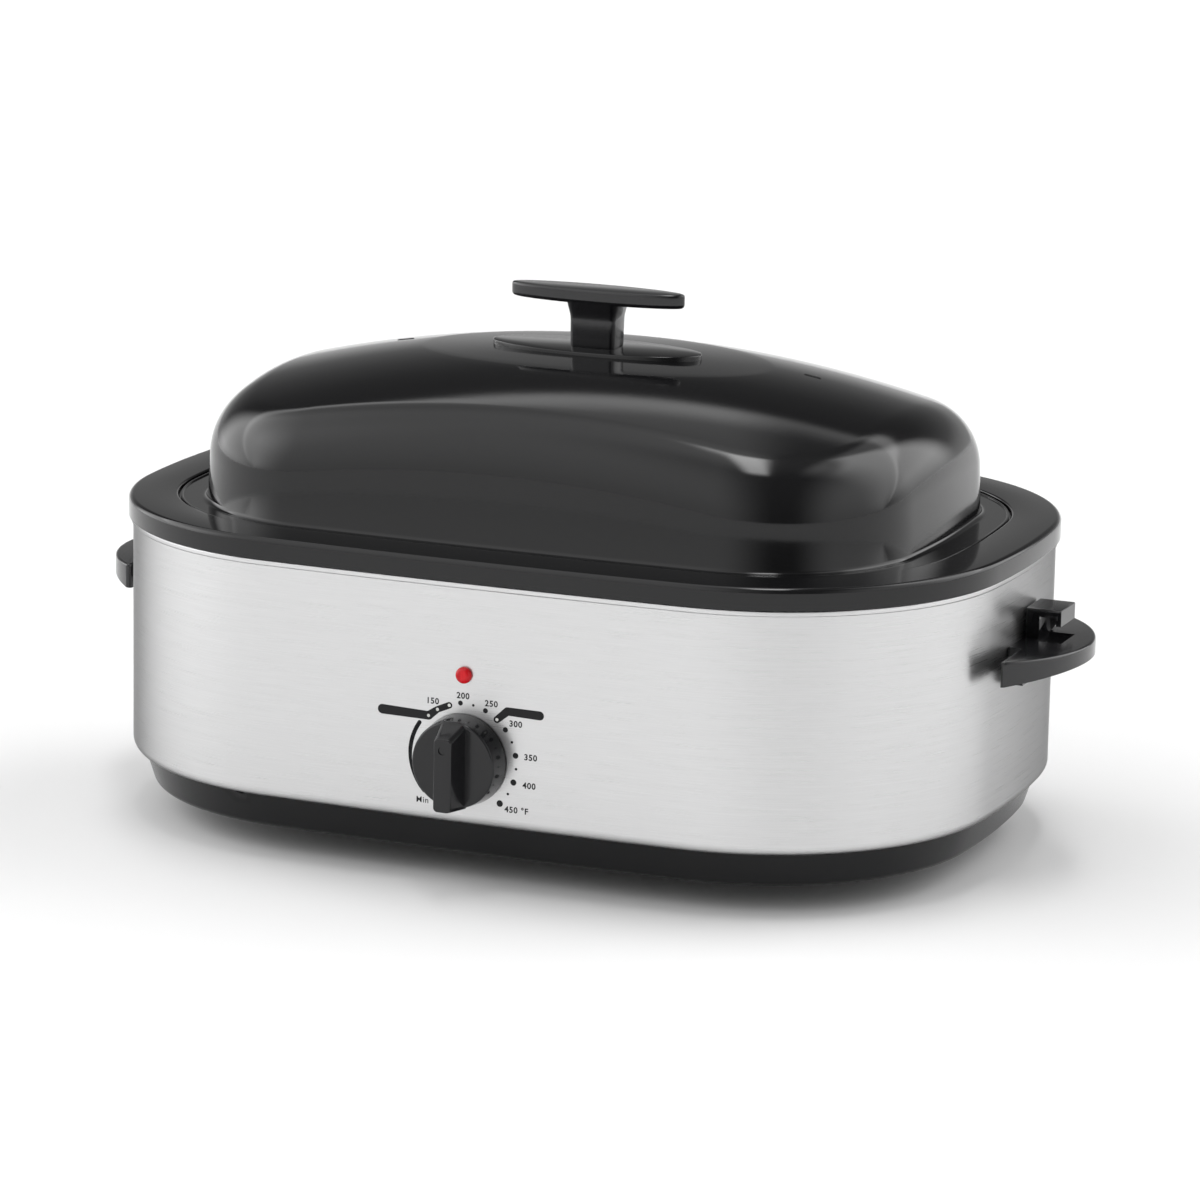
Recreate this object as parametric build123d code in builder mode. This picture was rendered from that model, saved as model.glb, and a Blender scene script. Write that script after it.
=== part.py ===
from build123d import *
import math
import os
from typing import NamedTuple

# Electric roaster oven: a lidded enamel pan that hangs in a heated, insulated oval body.
# Millimetres. +Z is up and z = 0 is the worktop; the knob faces -Y and the cord inlet +Y.

# ---- driving sizes ------------------------------------------------------------------------
# plan of the body wall: flat arcs front and rear, arcs at the ends, tangent corner arcs
body_half_length = 258.0
body_half_depth = 180.0
body_corner_radius = 138.0
side_radius = 3550.0
end_radius = 590.0

# clearances and margins
seat_gap = 0.3  # between pieces that rest on one another or lie side by side
slip_gap = 0.08  # round screws and rivets
run_gap = 0.05  # round the turning shaft and under the nut on its neck
cut_margin = 1.0  # by which a cut runs past the faces that it opens
level_slack = 0.01  # when edges are picked by their level

# levels of the body
foot_height = 10.5
plateau_drop = 5.0
base_height = 19.7
band_height = 135.0

# body wall
band_wall = 0.8
curl_radius = 6.0
hem_height = 3.2
hem_reach = 1.0
hem_round = 1.5

# base pan
base_wall = 1.2
base_inset = 6.5
base_flare = 18.0
base_round = 5.0
lip_height = 11.0
plateau_inset = 46.0
vent_width = 3.0
vent_length = 24.0
vent_pitch = 11.0
vent_count = 5
vent_row_x = 70.0

# feet, screws and standoffs
foot_x = 150.0
foot_y = 78.0
foot_radius = 12.0
foot_taper = 8.0
foot_recess = 4.5
foot_round = 1.5
screw_radius = 2.0
screw_head_radius = 4.2
screw_head_height = 2.4
screw_head_round = 0.8
standoff_radius = 5.5
standoff_thread = 11.0

# liner
liner_wall = 0.8
liner_inset = 31.2
liner_lift = 18.3  # underside of the liner above the base pan's floor
liner_bottom_round = 30.0
liner_flange_rise = 7.8
liner_lip_depth = 16.0
liner_lip_round = 4.0

# heating element and insulation
rope_radius = 1.8
rope_turns = 3
rope_pitch = 26.0
rope_first = 36.0
clamp_width = 16.0
clamp_depth = 5.0
fleece_thickness = 22.0
fleece_low = 17.0
fleece_high = 8.0
control_bay = 92.0
inlet_bay = 40.0

# roasting pan
pan_wall = 1.2
rim_reach = 2.5
skirt_height = 12.2
rim_round = 3.0
recess_inset = 25.5
recess_depth = 3.2
recess_round = 1.4
well_inset = 38.0
well_draft = 2.0
well_depth = 142.0
well_round = 22.0

# lid
lid_wall = 1.2
lid_half_length = 213.0
lid_half_depth = 140.5
lid_corner_radius = 92.0
lid_draft = 2.0
lid_height = 90.0
crown_length_radius = 748.0
crown_width_radius = 357.0
plateau_length_radius = 1350.0  # the flatter oval in the middle of the crown
plateau_width_radius = 960.0
crown_cut = 12.0  # reach of the pad and of the openings below the lid's top
plateau_cut = 3.3  # how far the plateau lies below the full crown's apex
shoulder_radius = 40.0
hem_width = 1.4
hem_rise = 0.8
pad_length = 126.0
pad_width = 50.0
pad_rise = 1.6
lid_margin = 1.5  # between the lid's flange and the wall of the recess round it
slit_width = 1.6
slit_length = 9.0
slit_x = 125.0
slit_y = 14.0

# lid handle
grip_length = 105.0
grip_width = 25.0
grip_thickness = 8.2
grip_height = 33.3  # top of the grip above the pad
grip_top_round = 1.6
grip_bottom_round = 2.5
stem_top_length = 30.0
stem_top_width = 22.0
stem_foot_length = 27.0
stem_foot_width = 19.0
stem_round = 2.5
lid_screw_radius = 2.5
lid_screw_depth = 17.0
washer_radius = 9.0
washer_thickness = 1.2
lid_screw_tip = 1.0  # left free at the end of the bore

# side handles
handle_level = 130.0
handle_reach = 38.0
handle_half_width = 64.0
handle_standoff = 6.5
handle_corner = 2.0
handle_skirt = 14.5
handle_tip_skirt = 9.0
handle_wall = 3.0
handle_round = 1.5
mount_half_width = 26.0
mount_depth = 9.0
mount_height = 21.0
slot_length = 15.0
slot_width = 26.0
slot_setback = 1.0
slot_shift = 7.0  # of the slot towards the end where the lid rest stands
handle_screw_y = 16.0
handle_screw_reach = 7.0
end_screw_drop = 13.0
screw_head_gap = 0.6  # lets the flat head clear the curved wall

# lid rest on the right handle
rest_rise = 17.0
rest_front = 0.5
rest_back = 26.0
rest_post = 8.0
rest_reach = 20.5
rest_cap = 4.6
rest_lip = 3.0
rest_lip_drop = 4.6
rest_web = 3.5
rest_round = 1.0
tenon_width = 16.0
tenon_depth = 4.0
tenon_height = 6.0
tenon_gap = 0.1

# control knob and thermostat
knob_level = 72.5
knob_gap = 0.8
knob_radius = 25.5
knob_face_radius = 24.0
knob_disc = 14.0
knob_face_round = 1.5
grip_bar_width = 16.0
grip_bar_front_width = 10.0
grip_bar_high = 23.6
grip_bar_low = 24.4
grip_bar_rise = 27.7
grip_bar_sink = 2.5  # of its root into the disc
grip_bar_slope = 6.0
grip_bar_foot = 1.2
grip_bar_corner = 2.5
grip_bar_round = 1.0
dimple_radius = 2.3
dimple_depth = 0.7
dimple_height = 11.2
knob_hollow_radius = 20.0
knob_hollow_depth = 8.0
hub_radius = 6.5
shaft_radius = 3.0
shaft_flat = 1.0
shaft_reach = 15.0
shaft_tail = 6.5
neck_radius = 4.8
neck_reach = 2.4
nut_flats = 12.0
nut_height = 2.0
hub_setback = 0.6  # hub in front of the end of the neck
clip_thickness = 0.5
clip_width = 4.0
clip_mouth = 5.0
thermostat_width = 34.0
thermostat_height = 26.0
thermostat_depth = 18.0
thermostat_round = 2.0
blade_width = 6.3
blade_thickness = 0.8
blade_length = 6.0
blade_spacing = 16.0

# control bracket and its lamp
bracket_sheet = 1.2
bracket_width = 62.0
bracket_depth = 1.2  # its front face behind the outside of the wall
bracket_top = 130.0
bracket_step_level = 51.0
bracket_riser_depth = 22.0
bracket_foot = 16.0
bracket_screw_x = 20.0
bracket_screw_reach = 6.0
bracket_bend = 2.0
lamp_level = 119.5
lens_radius = 4.6
lens_rise = 3.2
lens_round = 2.6
lens_stem_radius = 3.6
lens_stem = 9.0
lamp_radius = 6.0
lamp_length = 14.0
fuse_radius = 2.6
fuse_length = 22.0
fuse_x = 28.0
fuse_level = 108.0
fuse_lead_radius = 0.8
fuse_lead_length = 8.0

# cord inlet and terminal block
inlet_level = 62.0
inlet_reach = 9.5
gland_radius = 10.0
gland_snout_radius = 7.5
gland_flange = 3.0
gland_round = 1.5
gland_stem_radius = 6.2
gland_stem = 10.0
cord_bore_radius = 3.6
gland_nut_radius = 9.0
gland_nut_height = 3.0
block_width = 34.0
block_depth = 13.0
block_height = 11.0
block_inset = 24.0
block_x = 0.0
block_cells = 3
block_cell_radius = 3.6
block_cell_depth = 4.0

# roasting rack
wire_radius = 2.0
bar_radius = 1.6
rack_inset = 54.0
rack_lift = 9.0
rack_bars = 11
rack_bar_pitch = 34.0
rack_rail_y = 62.0
rack_weld = 0.6
rack_leg_x = 136.0
rack_loop_height = 42.0
rack_loop_width = 64.0
rack_loop_round = 10.0

# ---- levels and places worked out from them -----------------------------------------------
base_low = foot_height + plateau_drop
base_top = base_low + base_height
band_low = base_top + seat_gap
band_top = band_low + band_height
floor_level = foot_height + base_wall  # inside of the base pan's plateau
ring_level = base_low + base_wall  # inside of the flat ring round the plateau
liner_low = floor_level + liner_lift
flange_top = band_top + liner_flange_rise
ledge_top = flange_top + seat_gap + pan_wall
rim_top = ledge_top + recess_depth
skirt_low = rim_top - skirt_height
well_low = ledge_top - well_depth
flange_low = ledge_top + seat_gap
lid_top = flange_low + lid_height
crown_apex = lid_top + plateau_cut
pad_top = lid_top + pad_rise
knob_reach = knob_gap + grip_bar_rise
rope_inset = liner_inset - rope_radius - slip_gap
fleece_inner = rope_inset - rope_radius - seat_gap
wall_cut = 4 * band_wall  # deep enough to open the wall where it curves away

# the knob stands out in front and the inlet behind; the origin halves the whole depth
body_y = (knob_reach - inlet_reach) / 2
ground = Plane((0, body_y, 0))
front_y = body_y - body_half_depth
rear_y = body_y + body_half_depth
bracket_screw_y = front_y + bracket_riser_depth + bracket_foot / 2


class Oval(NamedTuple):
    """A plan outline of eight tangent arcs, centred on the body's own middle."""

    half_length: float
    half_depth: float
    corner_radius: float


body_plan = Oval(body_half_length, body_half_depth, body_corner_radius)
lid_plan = Oval(lid_half_length, lid_half_depth, lid_corner_radius)


# ---- shared forms -------------------------------------------------------------------------
def oval_path(plan, inset=0.0):
    """Draws the plan's eight arcs, `inset` inside it, on the line being built."""
    side_centre = plan.half_depth - side_radius
    end_centre = plan.half_length - end_radius
    to_side = side_radius - plan.corner_radius
    to_end = end_radius - plan.corner_radius
    span = math.hypot(end_centre, side_centre)
    along = (to_side**2 - to_end**2 + span**2) / (2 * span)
    across = math.sqrt(to_side**2 - along**2)
    toward_x = end_centre / span
    toward_y = -side_centre / span
    corner_x = toward_x * along + toward_y * across
    corner_y = side_centre + toward_y * along - toward_x * across
    end_turn = math.degrees(math.atan2(corner_y, corner_x - end_centre))
    side_turn = math.degrees(math.atan2(corner_y - side_centre, corner_x))
    corner_sweep = side_turn - end_turn
    side_sweep = 180 - 2 * side_turn
    CenterArc((end_centre, 0), end_radius - inset, -end_turn, 2 * end_turn)
    CenterArc((corner_x, corner_y), plan.corner_radius - inset, end_turn, corner_sweep)
    CenterArc((0, side_centre), side_radius - inset, side_turn, side_sweep)
    CenterArc((-corner_x, corner_y), plan.corner_radius - inset, 180 - side_turn, corner_sweep)
    CenterArc((-end_centre, 0), end_radius - inset, 180 - end_turn, 2 * end_turn)
    CenterArc((-corner_x, -corner_y), plan.corner_radius - inset, 180 + end_turn, corner_sweep)
    CenterArc((0, -side_centre), side_radius - inset, 180 + side_turn, side_sweep)
    CenterArc((corner_x, -corner_y), plan.corner_radius - inset, -side_turn, corner_sweep)


def oval_face(plan, inset=0.0, mode=Mode.ADD):
    """Adds the plan, `inset` inside it, to the sketch being drawn."""
    with BuildLine() as outline:
        oval_path(plan, inset)
    make_face(outline.edges(), mode=mode)


def oval_prism(plan, inset, low, high, taper=0.0, mode=Mode.ADD):
    """Adds or cuts an upright prism of the plan between two levels."""
    with BuildSketch(ground.offset(low)) as outline:
        oval_face(plan, inset)
    extrude(outline.sketch, amount=high - low, taper=taper, mode=mode)


def oval_ring(plan, outer_inset, inner_inset, low, high, mode=Mode.ADD):
    """Adds or cuts an upright ring between two insets of the plan."""
    with BuildSketch(ground.offset(low)) as outline:
        oval_face(plan, outer_inset)
        oval_face(plan, inner_inset, mode=Mode.SUBTRACT)
    extrude(outline.sketch, amount=high - low, mode=mode)


def oval_form(plan, inset, low, high, low_round=0.0, high_round=0.0, taper=0.0):
    """A solid of the plan between two levels, with its lower or upper edge rounded."""
    with BuildPart() as form:
        oval_prism(plan, inset, low, high, taper)
        if low_round:
            fillet(edges_at(form, low), low_round)
        if high_round:
            fillet(edges_at(form, high), high_round)
    return form.part


def edges_at(builder, level):
    """The horizontal edges of the part being built that lie at one level."""
    return builder.edges().filter_by_position(Axis.Z, level - level_slack, level + level_slack)


def front_plane(x, level, out=0.0):
    """A plane on the front of the body, `out` in front of it, that faces the user."""
    return Plane(origin=(x, front_y - out, level), x_dir=(1, 0, 0), z_dir=(0, -1, 0))


def rear_plane(x, level, out=0.0):
    """A plane on the rear of the body, `out` behind it, that faces away from the user."""
    return Plane(origin=(x, rear_y + out, level), x_dir=(-1, 0, 0), z_dir=(0, 1, 0))


def end_plane(y, level, out=0.0):
    """A plane on the right end of the body, `out` beyond it, that faces along +X."""
    return Plane(origin=(body_half_length + out, body_y + y, level), x_dir=(0, 1, 0), z_dir=(1, 0, 0))


def far_plane(y, level, out=0.0):
    """A plane on the left end of the body, `out` beyond it, that faces along -X."""
    return Plane(origin=(-body_half_length - out, body_y + y, level), x_dir=(0, -1, 0), z_dir=(-1, 0, 0))


def disc(plane, radius, depth, mode=Mode.ADD):
    """Adds or cuts a round bar from a plane, along its normal."""
    with BuildSketch(plane) as outline:
        Circle(radius)
    extrude(outline.sketch, amount=depth, mode=mode)


def corner_spots(level):
    """The four places where feet, screws and standoffs stand, on one level."""
    return [(x, body_y + y, level) for x in (-foot_x, foot_x) for y in (-foot_y, foot_y)]


def bracket_spots(level):
    """The two places where the control bracket is screwed to the base pan, on one level."""
    return [(x, bracket_screw_y, level) for x in (-bracket_screw_x, bracket_screw_x)]


def upright_discs(spots, radius, depth, taper=0.0, mode=Mode.ADD):
    """Adds or cuts round bars that stand on the given spots."""
    for spot in spots:
        with BuildSketch(Plane(spot)) as outline:
            Circle(radius)
        extrude(outline.sketch, amount=depth, taper=taper, mode=mode)


def deliver(builder, name):
    """Labels a finished piece and writes it."""
    builder.part.label = name
    export_step(builder.part, f"parts/{name}.step")


os.makedirs("parts", exist_ok=True)

# ---- body wall: brushed band with a rolled hem at the top and a curled lower edge ---------
hem_low = band_top - hem_height
band_hem = oval_form(body_plan, -hem_reach, hem_low, band_top, hem_round, hem_round)
band_outside = oval_form(body_plan, 0, band_low, band_top, curl_radius)
band_inside = oval_form(
    body_plan, band_wall, band_low + band_wall, band_top, curl_radius - band_wall
)
with BuildPart() as outer_band:
    add(band_hem)
    add(band_outside)
    add(band_inside, mode=Mode.SUBTRACT)
    oval_prism(body_plan, curl_radius, band_low - cut_margin, band_low + wall_cut, mode=Mode.SUBTRACT)
    disc(front_plane(0, knob_level), neck_radius + slip_gap, -wall_cut, Mode.SUBTRACT)
    disc(front_plane(0, lamp_level), lens_stem_radius + slip_gap, -wall_cut, Mode.SUBTRACT)
    disc(rear_plane(0, inlet_level), gland_stem_radius + slip_gap, -wall_cut, Mode.SUBTRACT)
    for y in (-handle_screw_y, handle_screw_y):
        for turned_plane in (end_plane, far_plane):
            plane = turned_plane(y, handle_level - end_screw_drop)
            disc(plane, screw_radius + slip_gap, -wall_cut, Mode.SUBTRACT)
deliver(outer_band, "outer_band")

# ---- base pan: flared tray with an upright lip inside the wall and a lowered plateau ------
base_foot_inset = base_inset + base_height * math.tan(math.radians(base_flare))
lip_inset = base_inset + seat_gap
lip_top = base_top + lip_height
base_outside = oval_form(
    body_plan, base_foot_inset, base_low, base_top, base_round, taper=-base_flare
)
base_inside = oval_form(
    body_plan,
    base_foot_inset + base_wall,
    ring_level,
    base_top,
    base_round - base_wall,
    taper=-base_flare,
)
with BuildPart() as base_pan:
    add(base_outside)
    oval_prism(body_plan, lip_inset, base_top, lip_top)
    add(base_inside, mode=Mode.SUBTRACT)
    oval_prism(body_plan, lip_inset + base_wall, base_top - cut_margin, lip_top, mode=Mode.SUBTRACT)
    oval_prism(body_plan, plateau_inset, foot_height, base_low)
    oval_prism(
        body_plan, plateau_inset + base_wall, floor_level, ring_level, mode=Mode.SUBTRACT
    )
    upright_discs(
        corner_spots(foot_height), screw_radius + slip_gap, base_wall, mode=Mode.SUBTRACT
    )
    upright_discs(
        bracket_spots(base_low), screw_radius + slip_gap, base_wall, mode=Mode.SUBTRACT
    )
    with BuildSketch(ground.offset(foot_height)):
        with Locations((-vent_row_x, 0), (vent_row_x, 0)):
            with GridLocations(0, vent_pitch, 1, vent_count):
                SlotOverall(vent_length, vent_width)
    extrude(amount=base_wall, mode=Mode.SUBTRACT)
deliver(base_pan, "base_pan")

# ---- feet, the screws through them and the standoffs that they draw down ------------------
with BuildPart() as feet:
    upright_discs(corner_spots(0), foot_radius, foot_height, taper=-foot_taper)
    fillet(edges_at(feet, 0), foot_round)
    upright_discs(corner_spots(0), screw_head_radius + seat_gap, foot_recess, mode=Mode.SUBTRACT)
    upright_discs(corner_spots(0), screw_radius + slip_gap, foot_height, mode=Mode.SUBTRACT)
deliver(feet, "feet")

foot_screw_low = foot_recess - screw_head_height
foot_screw_top = floor_level + standoff_thread
with BuildPart() as foot_screws:
    upright_discs(corner_spots(foot_screw_low), screw_head_radius, screw_head_height)
    fillet(edges_at(foot_screws, foot_screw_low), screw_head_round)
    upright_discs(corner_spots(foot_recess), screw_radius, foot_screw_top - foot_recess)
deliver(foot_screws, "foot_screws")

with BuildPart() as liner_standoffs:
    upright_discs(corner_spots(floor_level), standoff_radius, liner_lift)
    upright_discs(
        corner_spots(floor_level), screw_radius + slip_gap, standoff_thread, mode=Mode.SUBTRACT
    )
deliver(liner_standoffs, "liner_standoffs")

# ---- liner: drawn well with a wide flange whose lip drops inside the wall -----------------
flange_inset = band_wall + seat_gap
liner_lip_low = flange_top - liner_lip_depth
flange_outside = oval_form(
    body_plan, flange_inset, liner_lip_low, flange_top, high_round=liner_lip_round
)
flange_inside = oval_form(
    body_plan,
    flange_inset + liner_wall,
    liner_lip_low,
    flange_top - liner_wall,
    high_round=liner_lip_round - liner_wall,
)
liner_outside = oval_form(body_plan, liner_inset, liner_low, flange_top, liner_bottom_round)
liner_inside = oval_form(
    body_plan,
    liner_inset + liner_wall,
    liner_low + liner_wall,
    flange_top,
    liner_bottom_round - liner_wall,
)
with BuildPart() as liner:
    add(flange_outside)
    add(flange_inside, mode=Mode.SUBTRACT)
    add(liner_outside)
    add(liner_inside, mode=Mode.SUBTRACT)
deliver(liner, "liner")

# ---- heating element: turns of rope round the liner, joined by a clamp at the rear --------
rope_levels = [liner_low + rope_first + turn * rope_pitch for turn in range(rope_turns)]
clamp_low = rope_levels[0] - 2 * rope_radius
clamp_high = rope_levels[-1] + 2 * rope_radius
clamp_y = body_half_depth - rope_inset + clamp_depth / 2 - rope_radius
with BuildPart() as heating_element:
    for level in rope_levels:
        with BuildLine(ground.offset(level)) as turn_path:
            oval_path(body_plan, rope_inset)
        with BuildSketch(Plane(origin=turn_path.line @ 0, z_dir=turn_path.line % 0)):
            Circle(rope_radius)
        sweep(path=turn_path.line)
    with BuildSketch(ground.offset(clamp_low)):
        with Locations((0, clamp_y)):
            Rectangle(clamp_width, clamp_depth)
    extrude(amount=clamp_high - clamp_low)
deliver(heating_element, "heating_element")

# ---- insulation: fibre blanket with bays for the controls and the inlet -------------------
fleece_outer = fleece_inner - fleece_thickness
fleece_bottom = liner_low + fleece_low
fleece_top = liner_lip_low - fleece_high
bay_depth = 3 * liner_inset
with BuildPart() as insulation:
    oval_ring(body_plan, fleece_outer, fleece_inner, fleece_bottom, fleece_top)
    with BuildSketch(ground.offset(fleece_bottom)):
        with Locations((0, -body_half_depth)):
            Rectangle(control_bay, bay_depth)
        with Locations((0, body_half_depth)):
            Rectangle(inlet_bay, bay_depth)
    extrude(amount=fleece_top - fleece_bottom, mode=Mode.SUBTRACT)
deliver(insulation, "insulation")

# ---- roasting pan: broad rim with a turned-down skirt, a seat for the lid and a deep well --
skirt_outside = oval_form(body_plan, -rim_reach, skirt_low, rim_top, high_round=rim_round)
skirt_inside = oval_form(
    body_plan,
    pan_wall - rim_reach,
    skirt_low,
    rim_top - pan_wall,
    high_round=rim_round - pan_wall,
)
well_low_inset = well_inset + well_depth * math.tan(math.radians(well_draft))
well_outside = oval_form(
    body_plan, well_low_inset - pan_wall, well_low, ledge_top, well_round, taper=-well_draft
)
well_inside = oval_form(
    body_plan,
    well_low_inset,
    well_low + pan_wall,
    ledge_top,
    well_round - pan_wall,
    taper=-well_draft,
)
with BuildPart() as roasting_pan:
    add(skirt_outside)
    add(skirt_inside, mode=Mode.SUBTRACT)
    oval_prism(body_plan, recess_inset - pan_wall, ledge_top - pan_wall, rim_top - pan_wall)
    oval_prism(body_plan, recess_inset, ledge_top, rim_top, mode=Mode.SUBTRACT)
    fillet(edges_at(roasting_pan, rim_top).filter_by(GeomType.CIRCLE), recess_round)
    add(well_outside)
    add(well_inside, mode=Mode.SUBTRACT)
deliver(roasting_pan, "roasting_pan")

# ---- roasting rack: ring, cross bars and two rails with legs ------------------------------
pan_floor = well_low + pan_wall
rack_level = pan_floor + rack_lift
rail_level = rack_level - 2 * wire_radius + rack_weld
rail_half = rack_bar_pitch * (rack_bars - 1) / 2 + wire_radius
with BuildPart() as cross_bars:
    with Locations((0, body_y, rack_level)):
        with GridLocations(rack_bar_pitch, 0, rack_bars, 1):
            Cylinder(bar_radius, body_half_depth * 2, rotation=(90, 0, 0))
    oval_prism(
        body_plan, rack_inset, rail_level, rack_level + 2 * wire_radius, mode=Mode.INTERSECT
    )
with BuildPart() as roasting_rack:
    add(cross_bars.part)
    with BuildLine(ground.offset(rack_level)) as ring_path:
        oval_path(body_plan, rack_inset)
    with BuildSketch(Plane(origin=ring_path.line @ 0, z_dir=ring_path.line % 0)):
        Circle(wire_radius)
    sweep(path=ring_path.line)
    with Locations((0, body_y - rack_rail_y, rail_level), (0, body_y + rack_rail_y, rail_level)):
        Cylinder(wire_radius, 2 * rail_half, rotation=(0, 90, 0))
    leg_low = pan_floor + seat_gap
    with Locations(Plane((0, body_y, leg_low))):
        with GridLocations(2 * rack_leg_x, 2 * rack_rail_y, 2, 2):
            Cylinder(
                bar_radius,
                rail_level - leg_low,
                align=(Align.CENTER, Align.CENTER, Align.MIN),
            )
deliver(roasting_rack, "roasting_rack")

# ---- lifting loops: bent wires that stand on the outermost bars of the rack ---------------
loop_foot = rack_loop_width / 2
loop_x = rack_bar_pitch * (rack_bars - 1) / 2
loop_level = rack_level + bar_radius + seat_gap
with BuildPart() as rack_loops:
    for x in (-loop_x, loop_x):
        loop_plane = Plane((x, body_y, loop_level), x_dir=(0, 1, 0), z_dir=(1, 0, 0))
        with BuildLine(loop_plane) as loop_path:
            FilletPolyline(
                (-loop_foot, 0),
                (-loop_foot, rack_loop_height),
                (loop_foot, rack_loop_height),
                (loop_foot, 0),
                radius=rack_loop_round,
            )
        with BuildSketch(Plane(origin=loop_path.line @ 0, z_dir=(0, 0, 1))):
            Circle(wire_radius)
        sweep(path=loop_path.line)
deliver(rack_loops, "rack_loops")


# ---- lid: flat hemmed flange, steep wall, large shoulder, crowned top, oval pad -----------
def crown_form(apex, length_radius, width_radius):
    """A solid under a surface that is rounded along X and, more strongly, along Y."""
    axis_level = apex - width_radius
    reach = 2 * lid_half_length
    edge_level = apex - length_radius + math.sqrt(length_radius**2 - reach**2)
    with BuildPart() as form:
        with BuildSketch(Plane.XZ.offset(-body_y)):
            with BuildLine():
                ThreePointArc((-reach, edge_level), (0, apex), (reach, edge_level))
                Polyline(
                    (reach, edge_level),
                    (reach, axis_level),
                    (-reach, axis_level),
                    (-reach, edge_level),
                )
            make_face()
        revolve(axis=Axis((0, body_y, axis_level), (1, 0, 0)))
    return form.part


def dome_form(inset, low, drop, shoulder):
    """The dome as a solid, its top `drop` below the lid's own: drafted wall, crown and plateau."""
    apex = crown_apex - drop
    with BuildPart() as form:
        oval_prism(lid_plan, inset, low, apex, lid_draft)
        add(crown_form(apex, crown_length_radius, crown_width_radius), mode=Mode.INTERSECT)
        top_face = form.faces().sort_by(Axis.Z)[-1]
        fillet(top_face.edges(), shoulder)
        plateau = crown_form(lid_top - drop, plateau_length_radius, plateau_width_radius)
        add(plateau, mode=Mode.INTERSECT)
    return form.part


def pad_form(inset, low, high):
    """The raised oval pad as a solid."""
    with BuildPart() as form:
        with BuildSketch(ground.offset(low)):
            Ellipse(pad_length / 2 - inset, pad_width / 2 - inset)
        extrude(amount=high - low)
    return form.part


lid_flange_inset = recess_inset + lid_margin
flange_high = flange_low + lid_wall
lid_outside = dome_form(0, flange_low, 0, shoulder_radius)
lid_inside = dome_form(lid_wall, flange_low, lid_wall, shoulder_radius - lid_wall)
pad_root = lid_top - crown_cut
pad_outside = pad_form(0, pad_root, pad_top)
pad_inside = pad_form(lid_wall, pad_root, pad_top - lid_wall)
with BuildPart() as lid_shell:
    add(lid_outside)
    oval_prism(body_plan, lid_flange_inset, flange_low, flange_high)
    oval_ring(
        body_plan, lid_flange_inset, lid_flange_inset + hem_width, flange_high, flange_high + hem_rise
    )
    add(pad_outside)
    add(lid_inside, mode=Mode.SUBTRACT)
    add(pad_inside, mode=Mode.SUBTRACT)
    with BuildSketch(ground.offset(lid_top)):
        Circle(lid_screw_radius + slip_gap)
        with Locations((-slit_x, slit_y), (slit_x, slit_y)):
            SlotOverall(slit_length, slit_width)
    extrude(amount=crown_cut, both=True, mode=Mode.SUBTRACT)
deliver(lid_shell, "lid_shell")

# ---- lid handle with the screw and washer that hold it from inside ------------------------
grip_top = pad_top + grip_height
grip_low = grip_top - grip_thickness
stem_foot = pad_top + seat_gap
with BuildPart() as lid_handle:
    with BuildSketch(ground.offset(grip_low)):
        Ellipse(grip_length / 2, grip_width / 2)
    extrude(amount=grip_thickness)
    fillet(edges_at(lid_handle, grip_top), grip_top_round)
    fillet(edges_at(lid_handle, grip_low), grip_bottom_round)
    with BuildSketch(ground.offset(stem_foot)):
        RectangleRounded(stem_foot_length, stem_foot_width, stem_round)
    with BuildSketch(ground.offset(grip_low + grip_thickness / 2)):
        RectangleRounded(stem_top_length, stem_top_width, stem_round)
    loft()
    with BuildSketch(ground.offset(stem_foot)):
        Circle(lid_screw_radius + slip_gap)
    extrude(amount=lid_screw_depth, mode=Mode.SUBTRACT)
deliver(lid_handle, "lid_handle")

washer_high = pad_top - lid_wall - seat_gap
washer_low = washer_high - washer_thickness
with BuildPart() as lid_handle_washer:
    with BuildSketch(ground.offset(washer_low)):
        Circle(washer_radius)
        Circle(lid_screw_radius + slip_gap, mode=Mode.SUBTRACT)
    extrude(amount=washer_thickness)
deliver(lid_handle_washer, "lid_handle_washer")

lid_head_high = washer_low - seat_gap
lid_head_low = lid_head_high - screw_head_height
with BuildPart() as lid_handle_screw:
    with BuildSketch(ground.offset(lid_head_low)):
        Circle(screw_head_radius)
    extrude(amount=screw_head_height)
    fillet(edges_at(lid_handle_screw, lid_head_low), screw_head_round)
    with BuildSketch(ground.offset(lid_head_high)):
        Circle(lid_screw_radius)
    extrude(amount=stem_foot + lid_screw_depth - lid_screw_tip - lid_head_high)
deliver(lid_handle_screw, "lid_handle_screw")

# ---- side handles: hollow D-shaped grips with a slot, screwed to the ends from inside -----
handle_low = handle_level - handle_skirt
handle_inner_x = body_half_length + handle_standoff
handle_tip_x = body_half_length + handle_reach
slot_near_x = handle_inner_x + handle_wall - slot_setback
slot_x = slot_near_x + slot_length / 2
mount_low = handle_level - mount_height
screw_level = handle_level - end_screw_drop


def grip_outline(inset=0.0):
    """Draws the D-shaped plan of a side handle, `inset` inside it."""
    with BuildSketch() as outline:
        with BuildLine() as edge:
            ThreePointArc(
                (handle_inner_x, -handle_half_width),
                (handle_tip_x, 0),
                (handle_inner_x, handle_half_width),
            )
            Line((handle_inner_x, handle_half_width), (handle_inner_x, -handle_half_width))
        make_face(edge.edges())
        if inset:
            offset(amount=-inset, kind=Kind.INTERSECTION)
    return outline.sketch


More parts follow.
